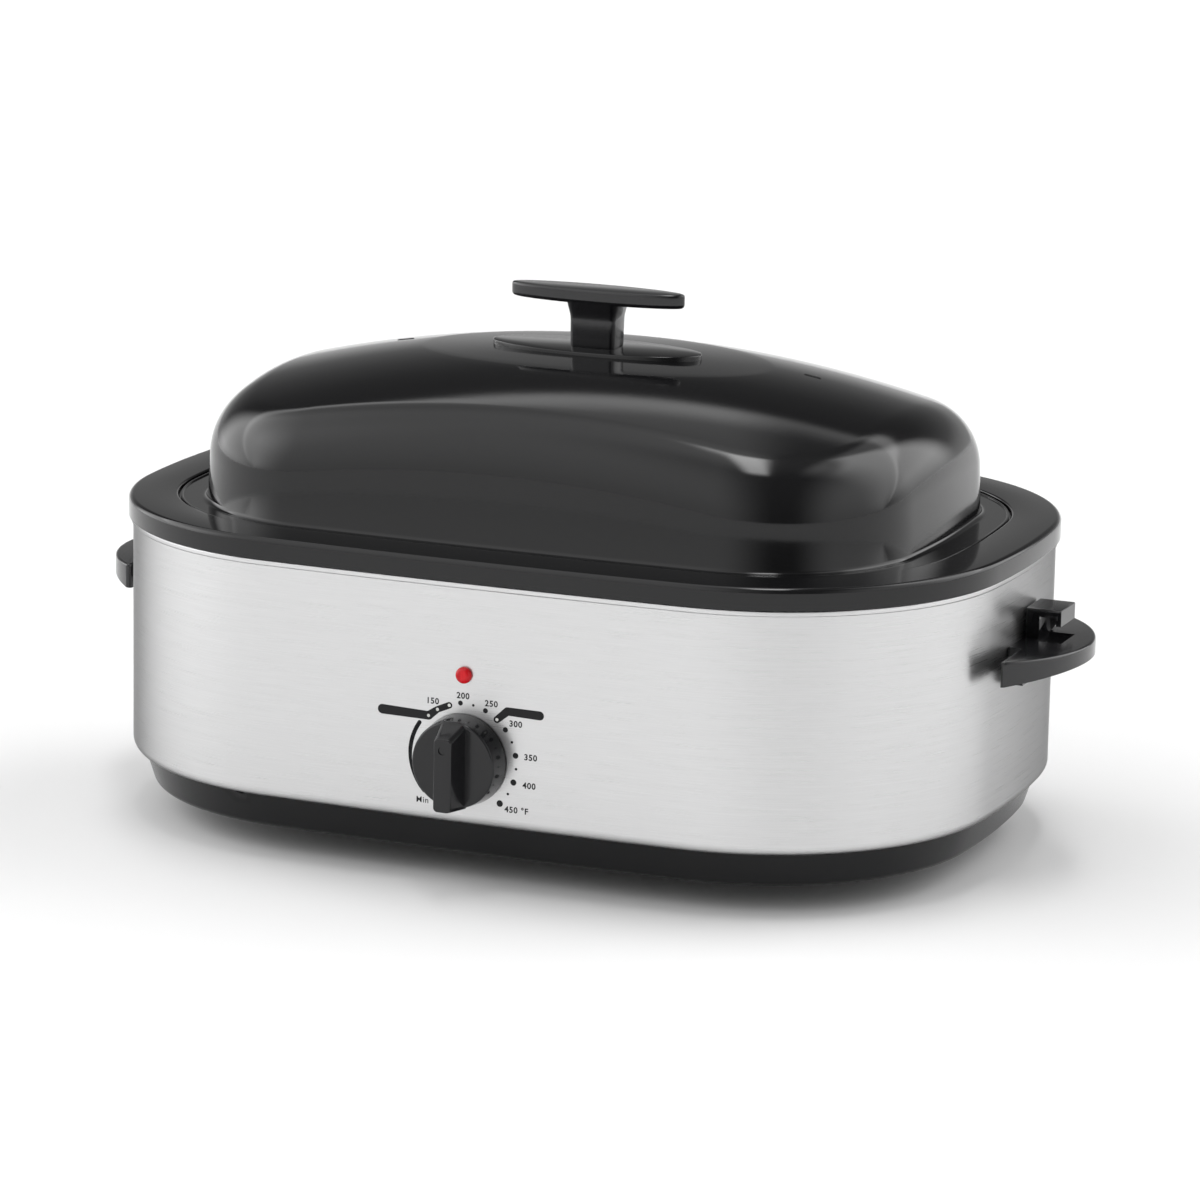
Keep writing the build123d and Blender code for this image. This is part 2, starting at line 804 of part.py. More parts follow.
grip_plan = grip_outline()
grip_hollow_plan = grip_outline(handle_wall)
with BuildPart() as handle_form:
    with BuildSketch(ground.offset(handle_low)):
        add(grip_plan)
        fillet(vertices(), handle_corner)
    extrude(amount=handle_skirt)
    fillet(edges_at(handle_form, handle_level), handle_round)
    with BuildSketch(ground.offset(handle_low)):
        add(grip_hollow_plan)
    extrude(amount=handle_skirt - handle_wall, mode=Mode.SUBTRACT)
    with BuildSketch(ground.offset(handle_low)):
        with Locations((slot_x, slot_shift)):
            Rectangle(slot_length + 2 * handle_wall, slot_width + 2 * handle_wall)
    extrude(amount=handle_skirt - handle_round)
    with BuildSketch(ground.offset(handle_low)):
        with Locations((slot_x, slot_shift)):
            Rectangle(slot_length, slot_width)
    extrude(amount=handle_skirt, mode=Mode.SUBTRACT)
    with BuildSketch(Plane.XZ.offset(-body_y)):
        with BuildLine():
            Polyline(
                (handle_inner_x - cut_margin, handle_low),
                (handle_tip_x + cut_margin, handle_level - handle_tip_skirt),
                (handle_tip_x + cut_margin, handle_low - cut_margin),
                (handle_inner_x - cut_margin, handle_low - cut_margin),
                close=True,
            )
        make_face()
    extrude(amount=handle_half_width + cut_margin, both=True, mode=Mode.SUBTRACT)
    with BuildSketch(ground.offset(mount_low)):
        with Locations((slot_near_x, 0)):
            Rectangle(mount_depth, 2 * mount_half_width, align=(Align.MAX, Align.CENTER))
    extrude(amount=mount_height)
    oval_prism(
        body_plan, -seat_gap, mount_low - cut_margin, handle_level + cut_margin, mode=Mode.SUBTRACT
    )
    for y in (-handle_screw_y, handle_screw_y):
        disc(end_plane(y, screw_level), screw_radius + slip_gap, handle_screw_reach, Mode.SUBTRACT)

half_turn = Rot(0, 0, 180)
with BuildPart() as left_handle:
    add(Pos(0, body_y, 0) * half_turn * Pos(0, -body_y, 0) * handle_form.part)
deliver(left_handle, "left_handle")

rest_x = body_half_length + seat_gap * 2
rest_middle = (rest_front + rest_back) / 2
tenon_x = rest_x + rest_post / 2
with BuildPart() as right_handle:
    add(handle_form.part)
    with BuildSketch(ground.offset(handle_level - tenon_height - seat_gap)):
        with Locations((tenon_x, rest_middle)):
            Rectangle(tenon_depth + 2 * tenon_gap, tenon_width + 2 * tenon_gap)
    extrude(amount=tenon_height + seat_gap, mode=Mode.SUBTRACT)
deliver(right_handle, "right_handle")

with BuildPart() as handle_screws:
    head_out = -(band_wall + screw_head_gap)
    shank_length = handle_screw_reach - seat_gap - head_out
    for turned_plane in (end_plane, far_plane):
        for y in (-handle_screw_y, handle_screw_y):
            disc(turned_plane(y, screw_level, head_out), screw_head_radius, -screw_head_height)
            disc(turned_plane(y, screw_level, head_out), screw_radius, shank_length)
deliver(handle_screws, "handle_screws")

# ---- lid rest: a hooked post that stands in a pocket of the right handle ------------------
rest_low = handle_level + seat_gap
rest_top = handle_level + rest_rise
cap_low = rest_top - rest_cap
with BuildPart() as lid_rest:
    with BuildSketch(Plane.XZ.offset(-body_y - rest_front)):
        with BuildLine():
            Polyline(
                (rest_x, rest_low),
                (rest_x, rest_top),
                (rest_x + rest_reach, rest_top),
                (rest_x + rest_reach, cap_low - rest_lip_drop),
                (rest_x + rest_reach - rest_lip, cap_low - rest_lip_drop),
                (rest_x + rest_reach - rest_lip, cap_low),
                (rest_x + rest_post, cap_low),
                (rest_x + rest_post, rest_low),
                close=True,
            )
        make_face()
    extrude(amount=-(rest_back - rest_front))
    fillet(edges_at(lid_rest, rest_top), rest_round)
    web_plane = Plane.XZ.offset(-body_y - rest_back + rest_web)
    with BuildSketch(web_plane):
        with BuildLine():
            Polyline(
                (rest_x + rest_post, rest_low),
                (rest_x + rest_post, cap_low),
                (rest_x + rest_reach - rest_lip, cap_low),
                close=True,
            )
        make_face()
    extrude(amount=-rest_web)
    with BuildSketch(ground.offset(handle_level - tenon_height)):
        with Locations((tenon_x, rest_middle)):
            Rectangle(tenon_depth, tenon_width)
    extrude(amount=tenon_height + seat_gap)
deliver(lid_rest, "lid_rest")

# ---- control knob, its spring clip and the shaft that turns with it -----------------------
knob_back = front_plane(0, knob_level, knob_gap)
knob_taper = math.degrees(math.atan((knob_radius - knob_face_radius) / knob_disc))
bar_root = knob_gap + knob_disc - grip_bar_sink
bar_middle = (grip_bar_high - grip_bar_low) / 2
bar_front_high = grip_bar_high - grip_bar_slope
bar_front_low = grip_bar_low - grip_bar_foot
bar_front_middle = (bar_front_high - bar_front_low) / 2
hub_out = neck_reach + hub_setback
hub_length = knob_gap + knob_hollow_depth - hub_out
shaft_axis = front_plane(0, knob_level)
with BuildPart() as control_knob:
    with BuildSketch(knob_back):
        Circle(knob_radius)
    extrude(amount=knob_disc, taper=knob_taper)
    fillet(control_knob.faces().sort_by(Axis.Y)[0].edges(), knob_face_round)
    with BuildSketch(front_plane(0, knob_level, bar_root)):
        with Locations((0, bar_middle)):
            RectangleRounded(grip_bar_width, grip_bar_high + grip_bar_low, grip_bar_corner)
    with BuildSketch(front_plane(0, knob_level, knob_gap + grip_bar_rise)):
        with Locations((0, bar_front_middle)):
            RectangleRounded(grip_bar_front_width, bar_front_high + bar_front_low, grip_bar_corner)
    loft()
    fillet(control_knob.faces().sort_by(Axis.Y)[0].edges(), grip_bar_round)
    disc(
        front_plane(0, knob_level + dimple_height, knob_gap + grip_bar_rise),
        dimple_radius,
        -dimple_depth,
        Mode.SUBTRACT,
    )
    disc(knob_back, knob_hollow_radius, knob_hollow_depth, Mode.SUBTRACT)
    disc(front_plane(0, knob_level, hub_out), hub_radius, hub_length)
    with BuildSketch(shaft_axis):
        Circle(shaft_radius + run_gap)
        with Locations((0, 2 * shaft_radius - shaft_flat + run_gap)):
            Rectangle(2 * shaft_radius, 2 * shaft_radius, mode=Mode.SUBTRACT)
    extrude(amount=shaft_reach + seat_gap, mode=Mode.SUBTRACT)
deliver(control_knob, "control_knob")

with BuildPart() as knob_clip:
    with BuildSketch(front_plane(0, knob_level, hub_out + hub_setback)):
        Circle(hub_radius + run_gap + clip_thickness)
        Circle(hub_radius + run_gap, mode=Mode.SUBTRACT)
        with Locations((0, -hub_radius)):
            Rectangle(clip_mouth, hub_radius, mode=Mode.SUBTRACT)
    extrude(amount=clip_width)
deliver(knob_clip, "knob_clip")

with BuildPart() as thermostat_shaft:
    with BuildSketch(front_plane(0, knob_level, -shaft_tail)):
        Circle(shaft_radius)
    extrude(amount=shaft_tail)
    with BuildSketch(shaft_axis):
        Circle(shaft_radius)
    extrude(amount=hub_out)
    with BuildSketch(front_plane(0, knob_level, hub_out)):
        Circle(shaft_radius)
        with Locations((0, 2 * shaft_radius - shaft_flat)):
            Rectangle(2 * shaft_radius, 2 * shaft_radius, mode=Mode.SUBTRACT)
    extrude(amount=shaft_reach - hub_out)
deliver(thermostat_shaft, "thermostat_shaft")

# ---- control bracket: folded sheet that carries thermostat and lamp behind the wall -------
bracket_back = bracket_depth + bracket_sheet
bracket_cut = 2 * bracket_back
with BuildPart() as control_bracket:
    with BuildSketch(Plane.YZ):
        with BuildLine():
            bend_line = FilletPolyline(
                (front_y + bracket_depth, bracket_top),
                (front_y + bracket_depth, bracket_step_level),
                (front_y + bracket_riser_depth, bracket_step_level),
                (front_y + bracket_riser_depth, ring_level + seat_gap),
                (front_y + bracket_riser_depth + bracket_foot, ring_level + seat_gap),
                radius=bracket_bend,
            )
            offset(bend_line, amount=bracket_sheet, side=Side.LEFT)
        make_face()
    extrude(amount=bracket_width / 2, both=True)
    disc(shaft_axis, neck_radius + slip_gap, -bracket_cut, Mode.SUBTRACT)
    disc(front_plane(0, lamp_level), lens_stem_radius + slip_gap, -bracket_cut, Mode.SUBTRACT)
    upright_discs(
        bracket_spots(ring_level), screw_radius + slip_gap, bracket_cut, mode=Mode.SUBTRACT
    )
deliver(control_bracket, "control_bracket")

with BuildPart() as bracket_screws:
    upright_discs(bracket_spots(base_low - screw_head_height), screw_head_radius, screw_head_height)
    fillet(edges_at(bracket_screws, base_low - screw_head_height), screw_head_round)
    upright_discs(bracket_spots(base_low), screw_radius, bracket_screw_reach)
deliver(bracket_screws, "bracket_screws")

# ---- thermostat with its threaded neck, and the nut on it ---------------------------------
thermostat_front = -(bracket_back + seat_gap)
with BuildPart() as thermostat:
    with BuildSketch(front_plane(0, knob_level, thermostat_front)):
        RectangleRounded(thermostat_width, thermostat_height, thermostat_round)
    extrude(amount=-thermostat_depth)
    with BuildSketch(front_plane(0, knob_level, thermostat_front - thermostat_depth)):
        with Locations((-blade_spacing / 2, 0), (blade_spacing / 2, 0)):
            Rectangle(blade_thickness, blade_width)
    extrude(amount=-blade_length)
    disc(front_plane(0, knob_level, thermostat_front), neck_radius, neck_reach - thermostat_front)
    disc(shaft_axis, shaft_radius + run_gap, neck_reach, Mode.SUBTRACT)
    disc(shaft_axis, shaft_radius + run_gap, -(shaft_tail + seat_gap), Mode.SUBTRACT)
deliver(thermostat, "thermostat")

with BuildPart() as thermostat_nut:
    with BuildSketch(front_plane(0, knob_level, run_gap)):
        RegularPolygon(nut_flats / 2, 6, major_radius=False)
        Circle(neck_radius + slip_gap, mode=Mode.SUBTRACT)
    extrude(amount=nut_height)
deliver(thermostat_nut, "thermostat_nut")

# ---- pilot lamp behind the bracket and its lens through the wall --------------------------
with BuildPart() as pilot_lens:
    disc(front_plane(0, lamp_level, seat_gap), lens_radius, lens_rise)
    fillet(pilot_lens.faces().sort_by(Axis.Y)[0].edges(), lens_round)
    disc(front_plane(0, lamp_level, seat_gap), lens_stem_radius, -(lens_stem + seat_gap))
deliver(pilot_lens, "pilot_lens")

with BuildPart() as pilot_lamp:
    disc(front_plane(0, lamp_level, thermostat_front), lamp_radius, -lamp_length)
    disc(
        front_plane(0, lamp_level),
        lens_stem_radius + slip_gap,
        -(lens_stem + seat_gap),
        Mode.SUBTRACT,
    )
deliver(pilot_lamp, "pilot_lamp")

# ---- thermal fuse on the liner, terminal block on the base pan ----------------------------
fuse_y = front_y + liner_inset - fuse_radius - seat_gap
with BuildPart() as thermal_fuse:
    with Locations((fuse_x, fuse_y, fuse_level)):
        Cylinder(fuse_radius, fuse_length, rotation=(0, 90, 0))
        Cylinder(fuse_lead_radius, fuse_length + 2 * fuse_lead_length, rotation=(0, 90, 0))
deliver(thermal_fuse, "thermal_fuse")

block_low = ring_level + seat_gap
block_y = rear_y - block_inset - block_depth / 2
with BuildPart() as terminal_block:
    with BuildSketch(Plane((block_x, block_y, block_low))):
        Rectangle(block_width, block_depth)
    extrude(amount=block_height)
    with BuildSketch(Plane((block_x, block_y, block_low + block_height))):
        with GridLocations(block_width / block_cells, 0, block_cells, 1):
            Circle(block_cell_radius)
    extrude(amount=-block_cell_depth, mode=Mode.SUBTRACT)
deliver(terminal_block, "terminal_block")

# ---- inlet for the cord: a bushing through the rear wall and its nut ----------------------
with BuildPart() as cord_gland:
    disc(rear_plane(0, inlet_level, seat_gap), gland_radius, gland_flange)
    snout_length = inlet_reach - seat_gap - gland_flange
    disc(rear_plane(0, inlet_level, seat_gap + gland_flange), gland_snout_radius, snout_length)
    fillet(cord_gland.faces().sort_by(Axis.Y)[-1].edges(), gland_round)
    disc(rear_plane(0, inlet_level, seat_gap), gland_stem_radius, -(gland_stem + seat_gap))
    disc(rear_plane(0, inlet_level, inlet_reach), cord_bore_radius, -2 * inlet_reach, Mode.SUBTRACT)
deliver(cord_gland, "cord_gland")

with BuildPart() as gland_nut:
    with BuildSketch(rear_plane(0, inlet_level, -(band_wall + seat_gap))):
        Circle(gland_nut_radius)
        Circle(gland_stem_radius + slip_gap, mode=Mode.SUBTRACT)
    extrude(amount=-gland_nut_height)
deliver(gland_nut, "gland_nut")
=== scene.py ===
"""Looks of an electric roaster oven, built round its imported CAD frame.

The frame is the CAD's: +X to the right along the front, +Y from the knob to the cord
inlet, +Z up, and z = 0 on the worktop. The sub-assemblies hold their sizes in
millimetres; plans, meshes, finishes and the studio are in metres.
"""

from __future__ import annotations

import logging
import math
from dataclasses import dataclass
from enum import Enum
from typing import Iterable, Sequence

import bmesh
import bpy
from mathutils import Matrix, Quaternion, Vector

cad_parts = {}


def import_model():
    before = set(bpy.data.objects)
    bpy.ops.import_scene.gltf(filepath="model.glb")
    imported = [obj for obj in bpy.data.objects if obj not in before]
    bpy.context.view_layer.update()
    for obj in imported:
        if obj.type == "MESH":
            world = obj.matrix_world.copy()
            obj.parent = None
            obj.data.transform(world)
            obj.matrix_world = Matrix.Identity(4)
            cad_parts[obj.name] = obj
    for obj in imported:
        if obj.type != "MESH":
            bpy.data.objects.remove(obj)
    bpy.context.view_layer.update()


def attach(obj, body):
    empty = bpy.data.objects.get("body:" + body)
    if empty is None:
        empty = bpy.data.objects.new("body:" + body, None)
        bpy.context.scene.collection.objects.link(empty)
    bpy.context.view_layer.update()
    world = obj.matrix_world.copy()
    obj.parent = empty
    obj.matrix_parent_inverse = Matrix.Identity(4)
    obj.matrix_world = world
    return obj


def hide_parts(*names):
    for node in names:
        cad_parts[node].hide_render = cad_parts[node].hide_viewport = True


LOG = logging.getLogger("roaster")
MM = 0.001

Colour = tuple[float, float, float, float]
Edges = tuple[float, float, float, float]
Pair = tuple[float, float]
Section = list[Pair]


class Body(Enum):
    """The rigid bodies of the frame that pieces ride on."""

    BASE = "base"
    KNOB = "knob"
    PAN = "pan"
    RACK = "rack"
    LID = "lid"


# ---- shader arithmetic and node making ------------------------------------------------------
class Channel:
    """A shader socket that takes part in plain arithmetic."""

    def __init__(self, shop: "NodeShop", socket: bpy.types.NodeSocket) -> None:
        """Wraps a socket.

        Args:
            shop: the node tree that the socket belongs to.
            socket: the output socket.
        """
        self.shop = shop
        self.socket = socket

    def _math(self, operation: str, first: object, second: object) -> "Channel":
        """Adds one Math node and returns its result."""
        return self.shop.node("ShaderNodeMath", {"operation": operation}, {0: first, 1: second})

    def __add__(self, other: object) -> "Channel":
        """self + other."""
        return self._math("ADD", self, other)

    def __radd__(self, other: object) -> "Channel":
        """other + self."""
        return self._math("ADD", other, self)

    def __sub__(self, other: object) -> "Channel":
        """self - other."""
        return self._math("SUBTRACT", self, other)

    def __rsub__(self, other: object) -> "Channel":
        """other - self."""
        return self._math("SUBTRACT", other, self)

    def __mul__(self, other: object) -> "Channel":
        """self * other."""
        return self._math("MULTIPLY", self, other)

    def __rmul__(self, other: object) -> "Channel":
        """other * self."""
        return self._math("MULTIPLY", other, self)

    def __pow__(self, other: object) -> "Channel":
        """self ** other."""
        return self._math("POWER", self, other)


class NodeShop:
    """Makes the nodes of one node tree."""

    def __init__(self, tree: bpy.types.NodeTree) -> None:
        """Empties the tree.

        Args:
            tree: the node tree to fill.
        """
        self.tree = tree
        tree.nodes.clear()

    def node(
        self,
        kind: str,
        settings: dict[str, object] | None = None,
        inputs: dict[object, object] | None = None,
        output: int | str = 0,
    ) -> Channel:
        """Adds one node.

        Args:
            kind: the node's type.
            settings: attributes set first; "stops" fills a colour ramp.
            inputs: socket name or number to a value or a Channel.
            output: which output the returned channel wraps.

        Returns:
            The chosen output, ready for arithmetic.
        """
        made = self.tree.nodes.new(kind)
        for key, value in (settings or {}).items():
            if key == "stops":
                self._fill_ramp(made.color_ramp, value)
            else:
                setattr(made, key, value)
        for key, value in (inputs or {}).items():
            if isinstance(value, Channel):
                self.tree.links.new(value.socket, made.inputs[key])
            else:
                made.inputs[key].default_value = value
        return Channel(self, made.outputs[output]) if made.outputs else Channel(self, None)

    @staticmethod
    def _fill_ramp(ramp: bpy.types.ColorRamp, stops: Sequence[tuple[float, Colour]]) -> None:
        """Gives a colour ramp its stops.

        Args:
            ramp: the ramp.
            stops: each stop's position and colour, in order.
        """
        while len(ramp.elements) > 1:
            ramp.elements.remove(ramp.elements[-1])
        ramp.elements[0].position, ramp.elements[0].color = stops[0]
        for position, colour in stops[1:]:
            ramp.elements.new(position).color = colour

    def place(self, stretch: tuple[float, float, float] = (1.0, 1.0, 1.0)) -> Channel:
        """Object coordinates, stretched along each axis."""
        where = self.node("ShaderNodeTexCoord", output="Object")
        return self.node("ShaderNodeMapping", inputs={"Vector": where, "Scale": stretch})

    def noise(self, where: Channel, scale: float, detail: float = 3.0) -> Channel:
        """Noise from 0 to 1.

        Args:
            where: the coordinates.
            scale: its cells per metre.
            detail: how many finer layers it gets.

        Returns:
            The noise.
        """
        fields = {"Vector": where, "Scale": scale, "Detail": detail}
        return self.node("ShaderNodeTexNoise", inputs=fields, output="Fac")

    def along(self, where: Channel, direction: Vector) -> Channel:
        """How far a vector runs along a direction."""
        settings = {"operation": "DOT_PRODUCT"}
        return self.node("ShaderNodeVectorMath", settings, {0: where, 1: direction}, output="Value")

    def rise(self, value: Channel, low: float, high: float) -> Channel:
        """A soft step from 0 at one value to 1 at another.

        Args:
            value: what is measured.
            low: where the step begins.
            high: where it ends.

        Returns:
            The step.
        """
        settings = {"interpolation_type": "SMOOTHSTEP"}
        fields = {"Value": value, "From Min": low, "From Max": high}
        return self.node("ShaderNodeMapRange", settings, fields)

    def window(self, value: Channel, edges: Edges) -> Channel:
        """1 between the two middle edges, falling softly to 0 at the outer ones."""
        return self.rise(value, edges[0], edges[1]) * (1.0 - self.rise(value, edges[2], edges[3]))

    def blend(self, factor: Channel, low: Colour, high: Colour) -> Channel:
        """A colour between two, by a factor."""
        settings = {"data_type": "RGBA"}
        return self.node("ShaderNodeMix", settings, {0: factor, 6: low, 7: high}, output=2)

    def bump(self, height: Channel, depth: float, strength: float = 1.0) -> Channel:
        """A normal from a height field.

        Args:
            height: the field.
            depth: the height of its full range, in metres.
            strength: how much of it shows.

        Returns:
            The normal.
        """
        fields = {"Height": height, "Distance": depth, "Strength": strength}
        return self.node("ShaderNodeBump", inputs=fields, output="Normal")


# ---- finishes -------------------------------------------------------------------------------
def grey(level: float) -> Colour:
    """A neutral colour."""
    return (level, level, level, 1.0)


@dataclass(frozen=True)
class Finish:
    """What a surface is made of.

    Attributes:
        name: the material's name.
        colour: its linear base colour.
        roughness: its middle roughness.
        metallic: 1 for bare metal, 0 for the rest.
    """

    name: str
    colour: Colour
    roughness: float
    metallic: float = 0.0

    def details(self, shop: NodeShop) -> dict[str, object]:
        """The sockets that vary over the surface, of which each finish gives its own.

        Args:
            shop: the material's node tree.

        Returns:
            Each socket by name, with what feeds it.
        """
        raise NotImplementedError

    def constants(self) -> dict[str, object]:
        """The sockets that are the same all over."""
        return {"Metallic": self.metallic}

    def tinted(self, shop: NodeShop, tone: Channel, low: float, high: float) -> Channel:
        """The base colour, made darker and lighter between two factors by a tone."""
        return shop.blend(tone, scaled(self.colour, low), scaled(self.colour, high))

    def material(self) -> bpy.types.Material:
        """Makes the material, or finds it where it has been made.

        Returns:
            The material.
        """
        found = bpy.data.materials.get(f"look_{self.name}")
        if found:
            return found
        made = bpy.data.materials.new(f"look_{self.name}")
        made.use_nodes = True
        shop = NodeShop(made.node_tree)
        sockets = {**self.constants(), **self.details(shop)}
        shader = shop.node("ShaderNodeBsdfPrincipled", inputs=sockets)
        shop.node("ShaderNodeOutputMaterial", inputs={"Surface": shader})
        made.diffuse_color = self.colour
        return made


def scaled(colour: Colour, factor: float) -> Colour:
    """A colour made lighter or darker, its alpha kept."""
    return (colour[0] * factor, colour[1] * factor, colour[2] * factor, colour[3])


@dataclass(frozen=True)
class BrushedSteel(Finish):
    """Stainless sheet with a fine horizontal grain all round.

    Attributes:
        grain: lines per metre of height.
        grain_depth: how deep the lines are cut.
        line_stretch: a line's height as a share of its length.
        streaks: broader streaks per metre of height.
        streak_stretch: a streak's height as a share of its length.
        clouds: cloudy patches per metre.
        edge_tint: what is left of a reflection seen almost edge-on.
    """

    grain: float = 3600.0
    grain_depth: float = 0.000008
    line_stretch: float = 0.008
    streaks: float = 400.0
    streak_stretch: float = 0.05
    clouds: float = 9.0
    edge_tint: float = 0.3

    def details(self, shop: NodeShop) -> dict[str, object]:
        """Fine lines, broader streaks and a faint cloudiness.

        Args:
            shop: the material's node tree.

        Returns:
            Each socket by name, with what feeds it.
        """
        fine, broad = self.line_stretch, self.streak_stretch
        lines = shop.noise(shop.place((fine, fine, 1.0)), self.grain, detail=2.0)
        streaks = shop.noise(shop.place((broad, broad, 1.0)), self.streaks)
        cloud = shop.noise(shop.place(), self.clouds, detail=2.0)
        tone = lines * 0.80 + streaks * 0.12 + cloud * 0.08
        return {
            "Base Color": self.tinted(shop, tone, low=0.88, high=1.12),
            "Roughness": self.roughness + (tone - 0.5) * 0.12,
            "Normal": shop.bump(lines, self.grain_depth),
        }

    def constants(self) -> dict[str, object]:
        """Metal whose glints stretch across the grain, and which dulls at a glance.

        Returns:
            Each socket by name, with its value.
        """
        return {
            "Metallic": self.metallic,
            "Anisotropic": 0.6,
            "Anisotropic Rotation": 0.25,
            "Specular Tint": grey(self.edge_tint),
        }


@dataclass(frozen=True)
class Enamel(Finish):
    """Fired gloss enamel with a trace of orange peel.

    Attributes:
        peel_depth: height of the orange peel.
        peel: its dimples per metre.
        drift: slow changes of gloss per metre.
        specks: fired-in specks per metre.
        speck_rarity: the higher, the fewer specks show.
        speck_colour: their colour.
        speck_strength: how fully they take it.
    """

    peel_depth: float = 0.00001
    peel: float = 160.0
    drift: float = 12.0
    specks: float = 2400.0
    speck_rarity: float = 9.0
    speck_colour: Colour = (0.05, 0.05, 0.05, 1.0)
    speck_strength: float = 2.0

    def details(self, shop: NodeShop) -> dict[str, object]:
        """A soft ripple, and a roughness that drifts as a fired coat's does.

        Args:
            shop: the material's node tree.

        Returns:
            Each socket by name, with what feeds it.
        """
        ripple = shop.noise(shop.place(), self.peel, detail=1.0)
        drift = shop.noise(shop.place(), self.drift, detail=2.0)
        specks = shop.noise(shop.place(), self.specks, detail=1.0) ** self.speck_rarity
        shown = specks * self.speck_strength
        return {
            "Base Color": shop.blend(shown, self.colour, self.speck_colour),
            "Roughness": self.roughness + drift * 0.02,
            "Normal": shop.bump(ripple, self.peel_depth, strength=0.6),
        }

    def constants(self) -> dict[str, object]:
        """Glass over metal."""
        return {"IOR": 1.5, "Specular IOR Level": 0.42}


@dataclass(frozen=True)
class SatinPaint(Finish):
    """Sprayed heat-proof paint with a fine tooth.

    Attributes:
        tooth: grains of the spray per metre.
        tooth_depth: height of the grains.
        drift: slow changes of gloss per metre.
        shine: how strongly it reflects, where 0.5 is bare plastic.
    """

    tooth: float = 1800.0
    tooth_depth: float = 0.00003
    drift: float = 22.0
    shine: float = 0.25

    def constants(self) -> dict[str, object]:
        """A film that reflects less than bare plastic does."""
        return {"Specular IOR Level": self.shine}

    def details(self, shop: NodeShop) -> dict[str, object]:
        """A sprayed tooth and slow changes of gloss.

        Args:
            shop: the material's node tree.

        Returns:
            Each socket by name, with what feeds it.
        """
        tooth = shop.noise(shop.place(), self.tooth, detail=2.0)
        drift = shop.noise(shop.place(), self.drift, detail=2.0)
        return {
            "Base Color": self.tinted(shop, drift, low=0.8, high=1.25),
            "Roughness": self.roughness + (tooth - 0.5) * 0.12 + (drift - 0.5) * 0.08,
            "Normal": shop.bump(tooth, self.tooth_depth, strength=0.5),
        }


@dataclass(frozen=True)
class MouldedPlastic(Finish):
    """Moulded phenolic with a spark-eroded texture.

    Attributes:
        texture: grains per metre.
        texture_depth: height of the grains.
        shine: how strongly it reflects, where 0.5 is bare plastic.
        flow: flow marks per metre.
    """

    texture: float = 2600.0
    texture_depth: float = 0.00002
    shine: float = 0.32
    flow: float = 35.0

    def constants(self) -> dict[str, object]:
        """Its strength of reflection."""
        return {"Specular IOR Level": self.shine}

    def details(self, shop: NodeShop) -> dict[str, object]:
        """Fine grain, flow marks and handling wear.

        Args:
            shop: the material's node tree.

        Returns:
            Each socket by name, with what feeds it.
        """
        grains = shop.noise(shop.place(), self.texture, detail=2.0)
        flow = shop.noise(shop.place((1.0, 1.0, 0.4)), self.flow)
        return {
            "Base Color": self.tinted(shop, flow, low=0.75, high=1.35),
            "Roughness": self.roughness + (grains - 0.5) * 0.10 + (flow - 0.5) * 0.10,
            "Normal": shop.bump(grains, self.texture_depth, strength=0.5),
        }


@dataclass(frozen=True)
class PlatedSteel(Finish):
    """Plated or bare small metalwork with drawing marks and dull patches.

    Attributes:
        marks: drawing marks per metre.
        mark_depth: how deep they are.
        patches: dull patches per metre.
    """

    marks: float = 1500.0
    mark_depth: float = 0.000008
    patches: float = 45.0

    def details(self, shop: NodeShop) -> dict[str, object]:
        """Dull patches over fine marks.

        Args:
            shop: the material's node tree.

        Returns:
            Each socket by name, with what feeds it.
        """
        marks = shop.noise(shop.place((1.0, 1.0, 0.15)), self.marks, detail=2.0)
        patches = shop.noise(shop.place(), self.patches)
        return {
            "Base Color": self.tinted(shop, patches, low=0.75, high=1.1),
            "Roughness": self.roughness + (patches - 0.5) * 0.14 + (marks - 0.5) * 0.08,
            "Normal": shop.bump(marks, self.mark_depth),
        }


@dataclass(frozen=True)
class Fibre(Finish):
    """Glass fibre, matted or braided.

    Attributes:
        strands: strands per metre.
        lump: how many strands lie across a lump.
        loft: height of the tangle.
    """

    strands: float = 700.0
    lump: float = 12.0
    loft: float = 0.0006

    def details(self, shop: NodeShop) -> dict[str, object]:
        """Tangled strands with dark gaps.

        Args:
            shop: the material's node tree.

        Returns:
            Each socket by name, with what feeds it.
        """
        tangle = shop.noise(shop.place(), self.strands, detail=5.0)
        lumps = shop.noise(shop.place(), self.strands / self.lump, detail=2.0)
        tone = tangle * 0.7 + lumps * 0.3
        return {
            "Base Color": self.tinted(shop, tone, low=0.5, high=1.15),
            "Roughness": self.roughness + (tone - 0.5) * 0.1,
            "Normal": shop.bump(tone, self.loft),
        }


@dataclass(frozen=True)
class ClearRed(Finish):
    """Tinted lens plastic over a lit lamp.

    Attributes:
        ribs: moulded ribs per metre.
        glow: the colours of its light between the ribs and on them.
    """

    ribs: float = 420.0
    glow: tuple[Colour, Colour] = ((0.4, 0.0, 0.01, 1.0), (1.0, 0.03, 0.03, 1.0))

    def details(self, shop: NodeShop) -> dict[str, object]:
        """Deeper red in places, as moulded ribs inside the lens give.

        Args:
            shop: the material's node tree.

        Returns:
            Each socket by name, with what feeds it.
        """
        ribs = shop.noise(shop.place((1.0, 1.0, 0.25)), self.ribs, detail=1.0)
        return {
            "Base Color": self.tinted(shop, ribs, low=0.6, high=1.3),
            "Roughness": self.roughness + ribs * 0.05,
            "Emission Color": shop.blend(ribs, *self.glow),
        }

    def constants(self) -> dict[str, object]:
        """A glossy lens that glows a little."""
        return {"Specular IOR Level": 0.25, "Coat Weight": 0.12, "Emission Strength": 0.06}


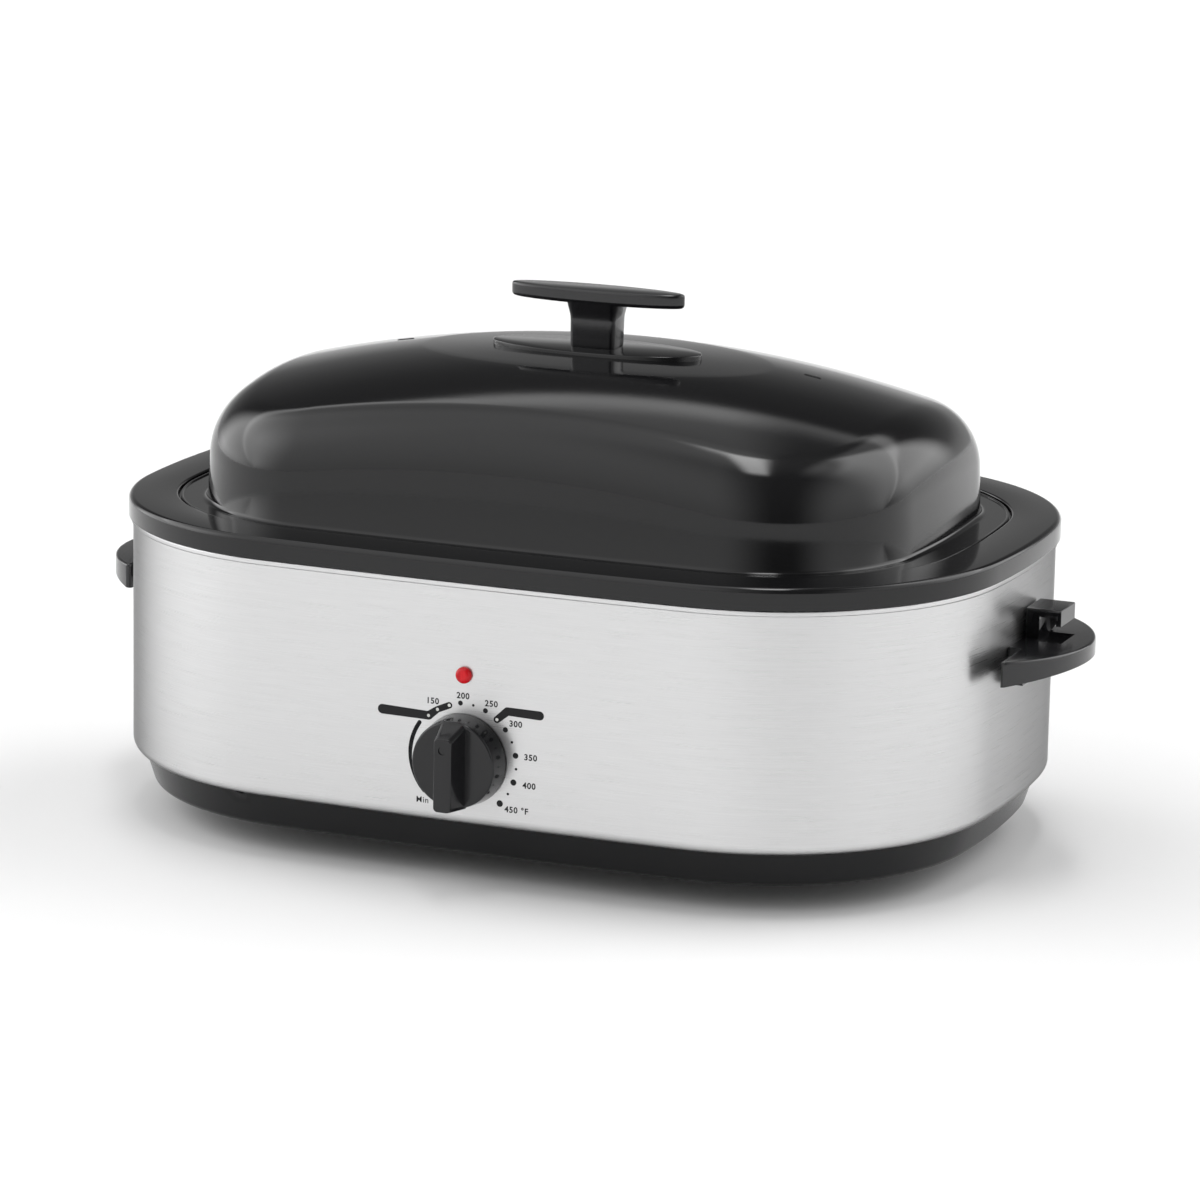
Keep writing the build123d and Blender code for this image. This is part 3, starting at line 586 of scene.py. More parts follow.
@dataclass(frozen=True)
class PaperFloor(Finish):
    """Matt paper, very faintly uneven.

    Attributes:
        clouds: cloudy patches per metre.
    """

    clouds: float = 3.0

    def details(self, shop: NodeShop) -> dict[str, object]:
        """A cloudiness that is only just there.

        Args:
            shop: the material's node tree.

        Returns:
            Each socket by name, with what feeds it.
        """
        cloud = shop.noise(shop.place(), self.clouds, detail=1.0)
        return {
            "Base Color": self.tinted(shop, cloud, low=0.985, high=1.015),
            "Roughness": self.roughness + (cloud - 0.5) * 0.02,
        }


STEEL_BAND = BrushedSteel("brushed_stainless", (0.65, 0.65, 0.652, 1.0), 0.29, 1.0)
ENAMEL = Enamel("black_enamel", (0.006, 0.006, 0.0065, 1.0), 0.085)
BASE_PAINT = SatinPaint("satin_black_paint", (0.005, 0.005, 0.0055, 1.0), 0.24)
HANDLE_PHENOLIC = MouldedPlastic(
    "handle_phenolic",
    (0.010, 0.010, 0.011, 1.0),
    0.16,
    texture=1500.0,
    texture_depth=8e-6,
    shine=0.6,
)
GRIP_PHENOLIC = MouldedPlastic(
    "grip_phenolic",
    (0.006, 0.006, 0.007, 1.0),
    0.14,
    texture=1500.0,
    texture_depth=6e-6,
    shine=0.6,
)
KNOB_PHENOLIC = MouldedPlastic(
    "knob_phenolic",
    (0.008, 0.008, 0.009, 1.0),
    0.15,
    texture=1500.0,
    texture_depth=8e-6,
    shine=0.42,
)
# Near-black painted shade for the vents' openings, which are not cut through the lid.
SEAM_SHADOW = SatinPaint("vent_painted_shade", (0.003, 0.003, 0.003, 1.0), 0.6)
DIAL_INK = SatinPaint("dial_ink", (0.008, 0.008, 0.009, 1.0), 0.42)
LENS_RED = ClearRed("lens_red", (0.55, 0.004, 0.010, 1.0), 0.12)
RUBBER = MouldedPlastic("foot_rubber", (0.02, 0.02, 0.02, 1.0), 0.70)
ZINC = PlatedSteel("zinc_plate", (0.62, 0.62, 0.60, 1.0), 0.32, 1.0)
ALUMINISED = PlatedSteel("aluminised_sheet", (0.55, 0.55, 0.55, 1.0), 0.42, 1.0)
CHROME_WIRE = PlatedSteel("bright_wire", (0.80, 0.80, 0.80, 1.0), 0.14, 1.0)
BRASS = PlatedSteel("brass", (0.75, 0.58, 0.28, 1.0), 0.30, 1.0)
BRAID = Fibre("element_braid", (0.72, 0.68, 0.60, 1.0), 0.85, strands=900.0)
BLANKET = Fibre("insulation_blanket", (0.85, 0.76, 0.50, 1.0), 0.95, strands=500.0)
CONTROL_PLASTIC = MouldedPlastic("control_moulding", (0.60, 0.57, 0.50, 1.0), 0.50)
WHITE_PLASTIC = MouldedPlastic("white_moulding", (0.75, 0.75, 0.72, 1.0), 0.45)


# ---- shared mesh work -----------------------------------------------------------------------
WELD = 0.002 * MM  # points closer than this become one
LEVEL = math.radians(0.05)  # faces that meet flatter than this become one
CHORD = math.radians(9)  # about how far a round turns from chord to chord
LEAST_CHORDS = 3
MATCH = 0.001  # by how much, in radians, a point may lie past the end of an arc


@dataclass(frozen=True)
class PlanArc:
    """One arc of a plan outline.

    Attributes:
        centre: the arc's centre.
        radius: its radius.
        start: the angle where it begins, in radians.
        turn: how far it turns, anticlockwise from above.
        steps: how many facets it gets.
    """

    centre: Vector
    radius: float
    start: float
    turn: float
    steps: int


@dataclass(frozen=True)
class OvalPlan:
    """A plan outline of eight tangent arcs.

    Attributes:
        half_length: half the plan's length along X.
        half_depth: half the plan's depth along Y.
        corner_radius: radius of its corners.
        centre_y: where its middle lies.
        side_radius: radius of the long front and rear arcs.
        end_radius: radius of the arcs at the two ends.
        fineness: facets per quarter turn of a corner.
    """

    half_length: float
    half_depth: float
    corner_radius: float
    centre_y: float
    side_radius: float = 3.550
    end_radius: float = 0.590
    fineness: int = 32

    def arcs(self) -> list[PlanArc]:
        """The plan's arcs, anticlockwise from above, beginning with the right-hand end.

        Returns:
            The eight arcs.
        """
        side_centre = self.half_depth - self.side_radius
        end_centre = self.half_length - self.end_radius
        to_side = self.side_radius - self.corner_radius
        to_end = self.end_radius - self.corner_radius
        span = math.hypot(end_centre, side_centre)
        along = (to_side**2 - to_end**2 + span**2) / (2 * span)
        across = math.sqrt(to_side**2 - along**2)
        toward = Vector((end_centre / span, -side_centre / span))
        corner_x = toward.x * along + toward.y * across
        corner_y = side_centre + toward.y * along - toward.x * across
        end_turn = math.atan2(corner_y, corner_x - end_centre)
        side_turn = math.atan2(corner_y - side_centre, corner_x)
        corner_turn = side_turn - end_turn
        side_sweep = math.pi - 2 * side_turn
        half_turn, facets = math.pi, self.fineness
        rows = (
            (end_centre, 0.0, self.end_radius, -end_turn, 2 * end_turn, facets),
            (corner_x, corner_y, self.corner_radius, end_turn, corner_turn, facets),
            (0.0, side_centre, self.side_radius, side_turn, side_sweep, facets),
            (-corner_x, corner_y, self.corner_radius, half_turn - side_turn, corner_turn, facets),
            (-end_centre, 0.0, self.end_radius, half_turn - end_turn, 2 * end_turn, facets),
            (-corner_x, -corner_y, self.corner_radius, half_turn + end_turn, corner_turn, facets),
            (0.0, -side_centre, self.side_radius, half_turn + side_turn, side_sweep, facets),
            (corner_x, -corner_y, self.corner_radius, -side_turn, corner_turn, facets),
        )
        return [
            PlanArc(Vector((x, y + self.centre_y, 0.0)), radius, start, turn, steps)
            for x, y, radius, start, turn, steps in rows
        ]

    def sweep(self, bm: bmesh.types.BMesh, section: Section, closed: bool = False) -> None:
        """Sweeps a section round the whole plan.

        Args:
            bm: the mesh that gets the surface.
            section: (inset, height) points, the inset measured square to the plan.
            closed: whether the section's last point joins its first.
        """
        arcs = self.arcs()
        first = arcs[0]
        outward = Vector((math.cos(first.start), math.sin(first.start), 0.0))
        before = set(bm.verts)
        verts = [
            bm.verts.new(first.centre + outward * (first.radius - inset) + Vector((0, 0, height)))
            for inset, height in section
        ]
        pairs = list(zip(verts, verts[1:]))
        if closed:
            pairs.append((verts[-1], verts[0]))
        last = verts + [bm.edges.new(pair) for pair in pairs]
        for arc in arcs:
            spun = bmesh.ops.spin(
                bm,
                geom=last,
                cent=arc.centre,
                axis=(0.0, 0.0, 1.0),
                angle=arc.turn,
                steps=arc.steps,
                use_merge=False,
                use_duplicate=False,
            )
            last = spun["geom_last"]
        new = [v for v in bm.verts if v not in before]
        bmesh.ops.remove_doubles(bm, verts=new, dist=WELD)

    def outward(self, point: Vector) -> Vector:
        """The outward direction at a point of the outline itself.

        Args:
            point: the point.

        Returns:
            The direction, level and of length 1.
        """
        arcs = self.arcs()
        flat = Vector((point.x, point.y, 0.0))

        def miss(arc: PlanArc) -> float:
            """How far the point is from being on an arc.

            Args:
                arc: the arc.

            Returns:
                The distance from its circle, and a metre more beyond its ends.
            """
            offset = flat - arc.centre
            turn = (math.atan2(offset.y, offset.x) - arc.start + MATCH) % (2 * math.pi)
            beyond = 0.0 if turn <= arc.turn + 2 * MATCH else 1.0
            return abs(offset.length - arc.radius) + beyond

        best = min(arcs, key=miss)
        return (flat - best.centre).normalized()


def rounded(corners: Sequence[tuple[float, float, float]], closed: bool = False) -> Section:
    """Rounds the corners of a section.

    Args:
        corners: (inset, height, radius) of each corner; a radius of 0 leaves it sharp.
        closed: whether the section closes on itself.

    Returns:
        The section's points, with each round drawn as a run of short chords.
    """
    points: Section = []
    count = len(corners)
    for index, (inset, height, radius) in enumerate(corners):
        is_end = not closed and index in (0, count - 1)
        if radius <= 0 or is_end:
            points.append((inset, height))
            continue
        here = Vector((inset, height))
        back = (Vector(corners[index - 1][:2]) - here).normalized()
        ahead = (Vector(corners[(index + 1) % count][:2]) - here).normalized()
        half = back.angle(ahead) / 2
        start = here + back * (radius / math.tan(half))
        centre = here + (back + ahead).normalized() * (radius / math.sin(half))
        turn = (start - centre).angle_signed(here + ahead * (radius / math.tan(half)) - centre)
        steps = max(LEAST_CHORDS, round(abs(turn) / CHORD))
        for step in range(steps + 1):
            spoke = (start - centre).copy()
            spoke.rotate(Matrix.Rotation(-turn * step / steps, 2))
            points.append(tuple(centre + spoke))
    return points


def open_edges(
    bm: bmesh.types.BMesh, height: float, slack: float = 0.01 * MM
) -> list[bmesh.types.BMEdge]:
    """The boundary edges that lie at one height.

    Args:
        bm: the mesh.
        height: the height.
        slack: how far an end may be off it.

    Returns:
        The edges.
    """
    return [
        e for e in bm.edges if e.is_boundary and all(abs(v.co.z - height) < slack for v in e.verts)
    ]


def close_ends(bm: bmesh.types.BMesh) -> None:
    """Fills every open loop of a mesh."""
    bmesh.ops.holes_fill(bm, edges=[e for e in bm.edges if e.is_boundary], sides=0)


def soften(
    bm: bmesh.types.BMesh, edges: list[bmesh.types.BMEdge], radius: float, segments: int
) -> None:
    """Rounds edges.

    Args:
        bm: the mesh.
        edges: the edges to round.
        radius: the radius in millimetres.
        segments: facets across the round.
    """
    bmesh.ops.bevel(
        bm,
        geom=edges,
        offset=radius * MM,
        segments=segments,
        affect="EDGES",
        profile=0.5,
        material=-1,
    )


def oval_slab(
    half_sizes: Pair, levels: Pair, segments: int
) -> tuple[bmesh.types.BMesh, list[bmesh.types.BMEdge], list[bmesh.types.BMEdge]]:
    """An upright oval slab on the body's middle.

    Args:
        half_sizes: half its length and half its width, in millimetres.
        levels: heights of its underside and its top, in millimetres.
        segments: facets round it.

    Returns:
        Its mesh, the edges round its underside and those round its top.
    """
    bm = bmesh.new()
    bmesh.ops.create_circle(bm, cap_ends=True, segments=segments, radius=1.0)
    shape = Matrix.Diagonal((half_sizes[0] * MM, half_sizes[1] * MM, 1.0, 1.0))
    bmesh.ops.transform(bm, matrix=shape, verts=bm.verts)
    bmesh.ops.translate(bm, vec=(0.0, BODY_MIDDLE, levels[0] * MM), verts=bm.verts)
    low_rim = list(bm.edges)
    risen = bmesh.ops.extrude_face_region(bm, geom=list(bm.faces))["geom"]
    top_verts = {v for v in risen if isinstance(v, bmesh.types.BMVert)}
    lift = (0.0, 0.0, (levels[1] - levels[0]) * MM)
    bmesh.ops.translate(bm, vec=lift, verts=list(top_verts))
    top_rim = [e for e in bm.edges if all(v in top_verts for v in e.verts)]
    return bm, low_rim, top_rim


def to_piece(
    name: str,
    bm: bmesh.types.BMesh,
    finish: Finish,
    body: Body,
    crease: float = 32.0,
    recalculate: bool = True,
) -> bpy.types.Object:
    """Turns a bmesh into a finished piece that rides on a body.

    Args:
        name: the piece's name.
        bm: its mesh, which is used up.
        finish: what it is made of.
        body: the body that carries it.
        crease: edges sharper than this many degrees stay sharp.
        recalculate: whether faces are turned outwards first.

    Returns:
        The new object.
    """
    if recalculate:
        bmesh.ops.recalc_face_normals(bm, faces=bm.faces)
    mesh = bpy.data.meshes.new(name)
    bm.to_mesh(mesh)
    bm.free()
    mesh.polygons.foreach_set("use_smooth", [True] * len(mesh.polygons))
    mesh.set_sharp_from_angle(angle=math.radians(crease))
    mesh.materials.append(finish.material())
    piece = bpy.data.objects.new(name, mesh)
    bpy.context.scene.collection.objects.link(piece)
    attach(piece, body.value)
    LOG.info("%s: %d faces", name, len(mesh.polygons))
    return piece


def copy_of(node: str, finish: Finish, body: Body, slot: str) -> bpy.types.Object:
    """A merged, smoothly shaded copy of a CAD node, shown in its place.

    Args:
        node: the CAD node.
        finish: what it is made of.
        body: the body that carries it.
        slot: the record's name for that finish; not used.

    Returns:
        The copy.
    """
    source = bpy.data.objects[node]
    bm = bmesh.new()
    bm.from_mesh(source.data)
    bmesh.ops.remove_doubles(bm, verts=bm.verts, dist=WELD)
    bmesh.ops.dissolve_limit(
        bm,
        angle_limit=LEVEL,
        verts=bm.verts,
        edges=bm.edges,
        use_dissolve_boundaries=False,
    )
    piece = to_piece(f"{node}_part", bm, finish, body, recalculate=False)
    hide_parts(node)
    return piece


# ---- sizes shared by several sub-assemblies ---------------------------------------------------
BODY_MIDDLE = 9.5 * MM
FRONT = BODY_MIDDLE - 180.0 * MM
BODY_PLAN = OvalPlan(258.0 * MM, 180.0 * MM, 138.0 * MM, BODY_MIDDLE)
LID_PLAN = OvalPlan(213.0 * MM, 140.5 * MM, 92.0 * MM, BODY_MIDDLE)
HALVINGS = 24  # when a place is found between two others
TRIES = 20  # when a round is fitted against the crown
ROUNDING = 1e-7  # how far a vertex may be stored from its place
MICRONS = 1e6  # in a metre


def millimetres(points: Iterable[tuple[float, ...]]) -> list[tuple[float, ...]]:
    """Section points or corners given in millimetres, in metres."""
    return [tuple(value * MM for value in point) for point in points]


@dataclass
class BodyShell:
    """The outside of the heated body: steel wall, black base and feet.

    Attributes:
        wall: thickness of the steel.
        low: height of its lower edge.
        high: height of its upper edge.
        curl: how far the curl at its foot reaches inwards.
        curl_flat: what of that is flat.
        hem: height of the roll at its top.
        hem_reach: how far the roll stands out.
        hem_round: radius of the roll's outer edges.
        nook: radius of the sharp bends beside the roll.
    """

    wall: float = 0.8
    low: float = 35.5
    high: float = 170.5
    curl: float = 6.0
    curl_flat: float = 0.1
    hem: float = 3.2
    hem_reach: float = 1.0
    hem_round: float = 0.9
    nook: float = 0.3

    def build(self) -> None:
        """Makes every piece of the shell."""
        self._band()
        copy_of("base_pan", BASE_PAINT, Body.BASE, "black_paint")
        copy_of("feet", RUBBER, Body.BASE, "foot_rubber")

    def _band(self) -> None:
        """The brushed wall with its rolled hem and curled foot."""
        hem_low = self.high - self.hem
        inner_bend = self.curl - self.wall - self.curl_flat
        corners = millimetres(
            (
                (self.curl, self.low, 0.0),
                (0.0, self.low, self.curl - self.curl_flat),
                (0.0, hem_low, self.nook),
                (-self.hem_reach, hem_low, self.hem_round),
                (-self.hem_reach, self.high, self.hem_round),
                (self.wall, self.high, self.nook),
                (self.wall, self.low + self.wall, inner_bend),
                (self.curl, self.low + self.wall, 0.0),
            )
        )
        bm = bmesh.new()
        BODY_PLAN.sweep(bm, rounded(corners, closed=True), closed=True)
        piece = to_piece("steel_band", bm, STEEL_BAND, Body.BASE)
        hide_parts("outer_band")


@dataclass
class RoastingPan:
    """The enamelled pan: broad rim, turned-down skirt, seat for the lid, deep well.

    Attributes:
        wall: thickness of the sheet.
        top: height of the rim.
        skirt_low: height of the skirt's lower edge.
        reach: how far the rim passes the body.
        ledge: height of the seat for the lid.
        ledge_inset: where the seat begins.
        well_inset: where the well begins.
        floor: height of the underside.
        draft: lean of the well's wall, in degrees.
        middle_inset: where the flat bottom is closed.
        rim_round: radius of the rim's outer edge.
        skirt_round: radius of the skirt's lower edges.
        ledge_round: radius of the bends beside the seat.
        under_round: radius of the bend beneath the seat.
        floor_round: radius between the well's wall and its bottom, from outside.
    """

    wall: float = 1.2
    top: float = 183.0
    skirt_low: float = 170.8
    reach: float = 2.5
    ledge: float = 179.8
    ledge_inset: float = 25.5
    well_inset: float = 38.0
    floor: float = 37.8
    draft: float = 2.0
    middle_inset: float = 90.0
    rim_round: float = 3.0
    skirt_round: float = 0.35
    ledge_round: float = 1.2
    under_round: float = 1.0
    floor_round: float = 22.0

    def build(self) -> None:
        """Makes the pan."""
        lean = (self.ledge - self.floor) * math.tan(math.radians(self.draft))
        inside = self.wall
        corners = millimetres(
            (
                (self.middle_inset, self.floor + inside, 0.0),
                (self.well_inset + lean, self.floor + inside, self.floor_round - inside),
                (self.well_inset, self.ledge, self.ledge_round),
                (self.ledge_inset, self.ledge, self.ledge_round),
                (self.ledge_inset, self.top, self.ledge_round),
                (-self.reach, self.top, self.rim_round),
                (-self.reach, self.skirt_low, self.skirt_round),
                (inside - self.reach, self.skirt_low, self.skirt_round),
                (inside - self.reach, self.top - inside, self.rim_round - inside),
                (self.ledge_inset - inside, self.top - inside, 0.0),
                (self.ledge_inset - inside, self.ledge - inside, self.under_round),
                (self.well_inset - inside, self.ledge - inside, 0.0),
                (self.well_inset - inside + lean, self.floor, self.floor_round),
                (self.middle_inset, self.floor, 0.0),
            )
        )
        bm = bmesh.new()
        BODY_PLAN.sweep(bm, rounded(corners))
        close_ends(bm)
        piece = to_piece("enamel_pan", bm, ENAMEL, Body.PAN)
        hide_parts("roasting_pan")


@dataclass(frozen=True)
class Station:
    """The lid's section over one place of its outline.

    Attributes:
        edge: the outline point.
        outward: the outward direction there.
        depth: how far inside the outline the centre of the shoulder's round lies.
        height: height of that centre.
        radius: radius of the round.
        last: the angle where the round meets the crown.
    """

    edge: Vector
    outward: Vector
    depth: float
    height: float
    radius: float
    last: float

    def on_round(self, turn: float) -> Vector:
        """The round's point at an angle above the level."""
        spot = self.edge - self.outward * (self.depth - self.radius * math.cos(turn))
        return Vector((spot.x, spot.y, self.height + self.radius * math.sin(turn)))


@dataclass
class DomedLid:
    """The lid: hemmed flange, steep wall, large shoulder, crown, plateau and oval pad.

    Attributes:
        wall: thickness of the sheet.
        low: height of the flange's underside.
        top: height of the plateau's middle.
        margin: inset of the flange's edge from the body's outline.
        hem_width: width of the hem.
        hem_rise: how far the hem stands above the flange.
        hem_rounds: radii of the hem's lower edge, of its top and of its inner foot.
        hem_lap: how far the flat of the flange is drawn with the hem.
        draft: lean of the wall, in degrees.
        shoulder: radius of the shoulder.
        foot: radius of the hollow round the wall's foot.
        foot_rows: facets across that hollow.
        foot_lap: how far the flat of the flange is drawn with that hollow.
        crown_radii: radii of the crown along X and across Y.
        plateau_radii: radii of the flatter oval in its middle, the same way.
        plateau_cut: how far the plateau lies below the crown's own apex.
        crease: half the width of the soft edge round the plateau.
        middle: how far out the rows run together, as a share of the rim's reach.
        merge: points of the skin closer than this become one where the rows run together.
        rows: facets across the shoulder.
        crown_rows: facets from the shoulder to the plateau.
        plateau_rows: facets from the plateau's edge to the middle.
        pad_half_length: half the length of the pad under the grip.
        pad_half_width: half its width.
        pad_top: height of its top.
        pad_sink: how far it reaches below the plateau's middle.
        pad_round: radius of its upper edge.
        slit_x: how far from the middle the two vents lie along X.
        slit_y: how far behind the middle they lie.
        slit_size: half the length and half the width of a vent's lip, and its end radius.
        lip_width: width of that lip.
        lip_rise: how far it stands above the lid.
        lip_sink: how far it reaches into the lid.
        lip_round: radius of its upper edges.
        mouth: inset of the near-black slab between the lips that is painted shade in the vent's
            opening, its underside and its top.
    """

    wall: float = 1.2
    low: float = 180.1
    top: float = 270.1
    margin: float = 27.0
    hem_width: float = 1.4
    hem_rise: float = 0.8
    hem_rounds: tuple[float, float, float] = (0.4, 0.5, 0.2)
    hem_lap: float = 1.2
    draft: float = 2.0
    shoulder: float = 40.0
    foot: float = 3.0
    foot_rows: int = 6
    foot_lap: float = 1.0
    crown_radii: Pair = (748.0, 357.0)
    plateau_radii: Pair = (1350.0, 960.0)
    plateau_cut: float = 3.3
    crease: float = 1.2
    middle: float = 0.45
    merge: float = 0.02
    rows: int = 22
    crown_rows: int = 10
    plateau_rows: int = 8
    pad_half_length: float = 63.0
    pad_half_width: float = 25.0
    pad_top: float = 271.7
    pad_sink: float = 7.0
    pad_round: float = 0.8
    slit_x: float = 125.0
    slit_y: float = 14.0
    slit_size: tuple[float, float, float] = (5.2, 1.1, 1.0)
    lip_width: float = 0.45
    lip_rise: float = 0.3
    lip_sink: float = 0.9
    lip_round: float = 0.15
    mouth: tuple[float, float, float] = (0.5, -0.6, 0.05)

    def build(self) -> None:
        """Makes the shell, the pad and the two vents."""
        bm = bmesh.new()
        self._flange(bm)
        self._skin(bm, outside=True)
        self._skin(bm, outside=False)
        flange_top = (self.low + self.wall) * MM
        bmesh.ops.bridge_loops(bm, edges=open_edges(bm, flange_top))
        bmesh.ops.bridge_loops(bm, edges=open_edges(bm, self.low * MM))
        piece = to_piece("enamel_lid", bm, ENAMEL, Body.LID)
        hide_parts("lid_shell")
        self._pad()
        for side in (-1, 1):
            self._vent(side)

    @staticmethod
    def _arched(x: float, y: float, apex: float, radii: Pair) -> float:
        """Height of a surface that is rounded along X and across Y.

        Args:
            x: place along the lid.
            y: place across it, from its own middle.
            apex: height of its middle, in millimetres.
            radii: its radii along X and across Y, in millimetres.

        Returns:
            The height in metres.
        """
        length_radius, width_radius = (radius * MM for radius in radii)
        ring = width_radius - length_radius + math.sqrt(length_radius**2 - x**2)
        return apex * MM - width_radius + math.sqrt(ring**2 - y**2)

    def _crown(self, x: float, y: float) -> float:
        """Height of the whole crown over a point."""
        return self._arched(x, y, self.top + self.plateau_cut, self.crown_radii)

    def _plateau(self, x: float, y: float) -> float:
        """Height of the plateau's surface over a point."""
        return self._arched(x, y, self.top, self.plateau_radii)

    def over(self, x: float, y: float) -> float:
        """Height of the lid's top over a point, the plateau cut out of the crown."""
        return min(self._crown(x, y), self._plateau(x, y))

    def _flange(self, bm: bmesh.types.BMesh) -> None:
        """The outer edge of the flange with its hem.

        Args:
            bm: the mesh that gets it.
        """
        flange_top = self.low + self.wall
        hem_top = flange_top + self.hem_rise
        inner = self.margin + self.hem_width
        low_round, top_round, foot_round = self.hem_rounds
        corners = millimetres(
            (
                (inner + self.hem_lap, self.low, 0.0),
                (self.margin, self.low, low_round),
                (self.margin, hem_top, top_round),
                (inner, hem_top, top_round),
                (inner, flange_top, foot_round),
                (inner + self.hem_lap, flange_top, 0.0),
            )
        )
        BODY_PLAN.sweep(bm, rounded(corners))

    def _skin(self, bm: bmesh.types.BMesh, outside: bool) -> None:
        """The dome's outer or inner surface, from its foot to the middle of the top.

        Args:
            bm: the mesh that gets the surface.
            outside: True for the outer surface.
        """
        row_layer = bm.verts.layers.int.get("row") or bm.verts.layers.int.new("row")
        inset = 0.0 if outside else self.wall * MM
        foot_z = (self.low + self.wall) * MM if outside else self.low * MM
        foot = self.foot * MM
        wall_z = foot_z + foot
        if outside:
            start = [(-foot - self.foot_lap * MM, foot_z)]
            start += [
                (-foot + foot * math.sin(turn), foot_z + foot - foot * math.cos(turn))
                for turn in (
                    math.radians(90 / self.foot_rows * step) for step in range(self.foot_rows)
                )
            ]
        else:
            start = [(inset, foot_z)]
        count = self.rows + self.crown_rows + self.plateau_rows + 2
        levels = [(inset, wall_z + step * MM) for step in range(count)]
        before = set(bm.verts)
        LID_PLAN.sweep(bm, start + levels)
        fresh = [v for v in bm.verts if v not in before]
        for vert in fresh:
            step = round((vert.co.z - wall_z) / MM)
            flush = abs(vert.co.z - wall_z - step * MM) < ROUNDING
            vert[row_layer] = step if flush and step >= 0 else -1
        self._raise(fresh, row_layer, inset)
        rows = [v for v in fresh if v.is_valid and v[row_layer] >= 0]
        bmesh.ops.remove_doubles(bm, verts=rows, dist=self.merge * MM)

    def _raise(self, verts: list, layer: object, inset: float) -> None:
        """Moves the placeholder rows to the shoulder, the crown and the plateau.

        Args:
            verts: the vertices of the skin, placed on an upright wall.
            layer: the layer that numbers their rows.
            inset: how far the skin lies inside the outer one.
        """
        draft = math.radians(self.draft)
        ready: dict[tuple[int, int], tuple[Station, Vector, Vector, list[float]]] = {}
        for vert in verts:
            row = vert[layer]
            if row < 0:
                continue
            key = (round(vert.co.x * MICRONS), round(vert.co.y * MICRONS))
            if key not in ready:
                station = self._station(vert.co.copy(), inset, draft)
                rim = station.on_round(station.last)
                spine = Vector((rim.x * self.middle, BODY_MIDDLE, 0.0))
                ready[key] = (station, rim, spine, self._shares(rim, spine))
            station, rim, spine, shares = ready[key]
            if row <= self.rows:
                vert.co = station.on_round(draft + (station.last - draft) * row / self.rows)
                continue
            spot = rim.lerp(spine, shares[row - self.rows - 1])
            height = self.over(spot.x, spot.y - BODY_MIDDLE) - inset
            vert.co = Vector((spot.x, spot.y, height))

    def _shares(self, rim: Vector, spine: Vector) -> list[float]:
        """Where the rows lie on the way from the shoulder to the lid's middle.

        Args:
            rim: where the shoulder ends.
            spine: where the rows run together.

        Returns:
            The rows as shares of the way, two of them close beside the plateau's edge.
        """
        near, far = 0.0, 1.0
        for _ in range(HALVINGS):
            share = (near + far) / 2
            spot = rim.lerp(spine, share)
            x, y = spot.x, spot.y - BODY_MIDDLE
            if self._crown(x, y) > self._plateau(x, y):
                far = share
            else:
                near = share
        close = self.crease * MM / (Vector(rim.xy) - Vector(spine.xy)).length
        before, after = near - close, near + close
        outer = [before * step / self.crown_rows for step in range(1, self.crown_rows + 1)]
        return outer + [
            after + (1.0 - after) * step / self.plateau_rows
            for step in range(self.plateau_rows + 1)
        ]

    def _station(self, point: Vector, inset: float, draft: float) -> Station:
        """The lid's section over one place of the outline.

        Args:
            point: the place, at the skin's own inset.
            inset: the skin's inset from the lid's outline.
            draft: lean of the wall, in radians.

        Returns:
            The section, its round tangent to the wall and to the crown.
        """
        radius = self.shoulder * MM - inset
        flat = Vector((point.x, point.y, 0.0))
        outward = LID_PLAN.outward(flat)
        edge = flat + outward * inset

        def height(depth: float) -> float:
            """Height of the crown that far inside the outline."""
            spot = edge - outward * depth
            return self._crown(spot.x, spot.y - BODY_MIDDLE) - inset

        touch = radius
        step = 0.1 * MM
        for _ in range(TRIES):
            slope = math.atan((height(touch + step) - height(touch - step)) / (2 * step))
            centre_z = height(touch) - radius * math.cos(slope)
            wall_depth = inset + (centre_z - self.low * MM) * math.tan(draft)
            touch = wall_depth + radius / math.cos(draft) - radius * math.sin(slope)
        depth = touch + radius * math.sin(slope)
        return Station(edge, outward, depth, centre_z, radius, math.pi / 2 - slope)

    def _pad(self) -> None:
        """The flat oval pad under the grip."""
        levels = (self.top - self.pad_sink, self.pad_top)
        half_sizes = (self.pad_half_length, self.pad_half_width)
        bm, _, top_rim = oval_slab(half_sizes, levels, segments=128)
        soften(bm, top_rim, self.pad_round, segments=3)
        to_piece("enamel_pad", bm, ENAMEL, Body.LID)

    def _vent(self, side: int) -> None:
        """One punched vent with its pressed lip, and a near-black slab in its opening as painted
        shade.

        Args:
            side: -1 for the left one, 1 for the right one.
        """
        half_length, half_width, end = (size * MM for size in self.slit_size)
        vent = OvalPlan(
            half_length, half_width, end, 0.0, side_radius=0.2, end_radius=0.02, fineness=8
        )
        x, y = side * self.slit_x * MM, self.slit_y * MM
        centre = self.over(x, y)
        tilt_x = (self.over(x + MM, y) - self.over(x - MM, y)) / (2 * MM)
        tilt_y = (self.over(x, y + MM) - self.over(x, y - MM)) / (2 * MM)
        normal = Vector((-tilt_x, -tilt_y, 1.0)).normalized()
        turn = Vector((0.0, 0.0, 1.0)).rotation_difference(normal).to_matrix().to_4x4()
        place = Matrix.Translation((x, y + BODY_MIDDLE, centre)) @ turn
        bm = bmesh.new()
        corners = (
            (self.lip_width, -self.lip_sink, 0.0),
            (self.lip_width, self.lip_rise, self.lip_round),
            (0.0, self.lip_rise, self.lip_round),
            (0.0, -self.lip_sink, 0.0),
        )
        vent.sweep(bm, rounded(millimetres(corners)), closed=True)
        bmesh.ops.transform(bm, matrix=place, verts=bm.verts)
        name = "left" if side < 0 else "right"
        to_piece(f"vent_lip_{name}", bm, ENAMEL, Body.LID)
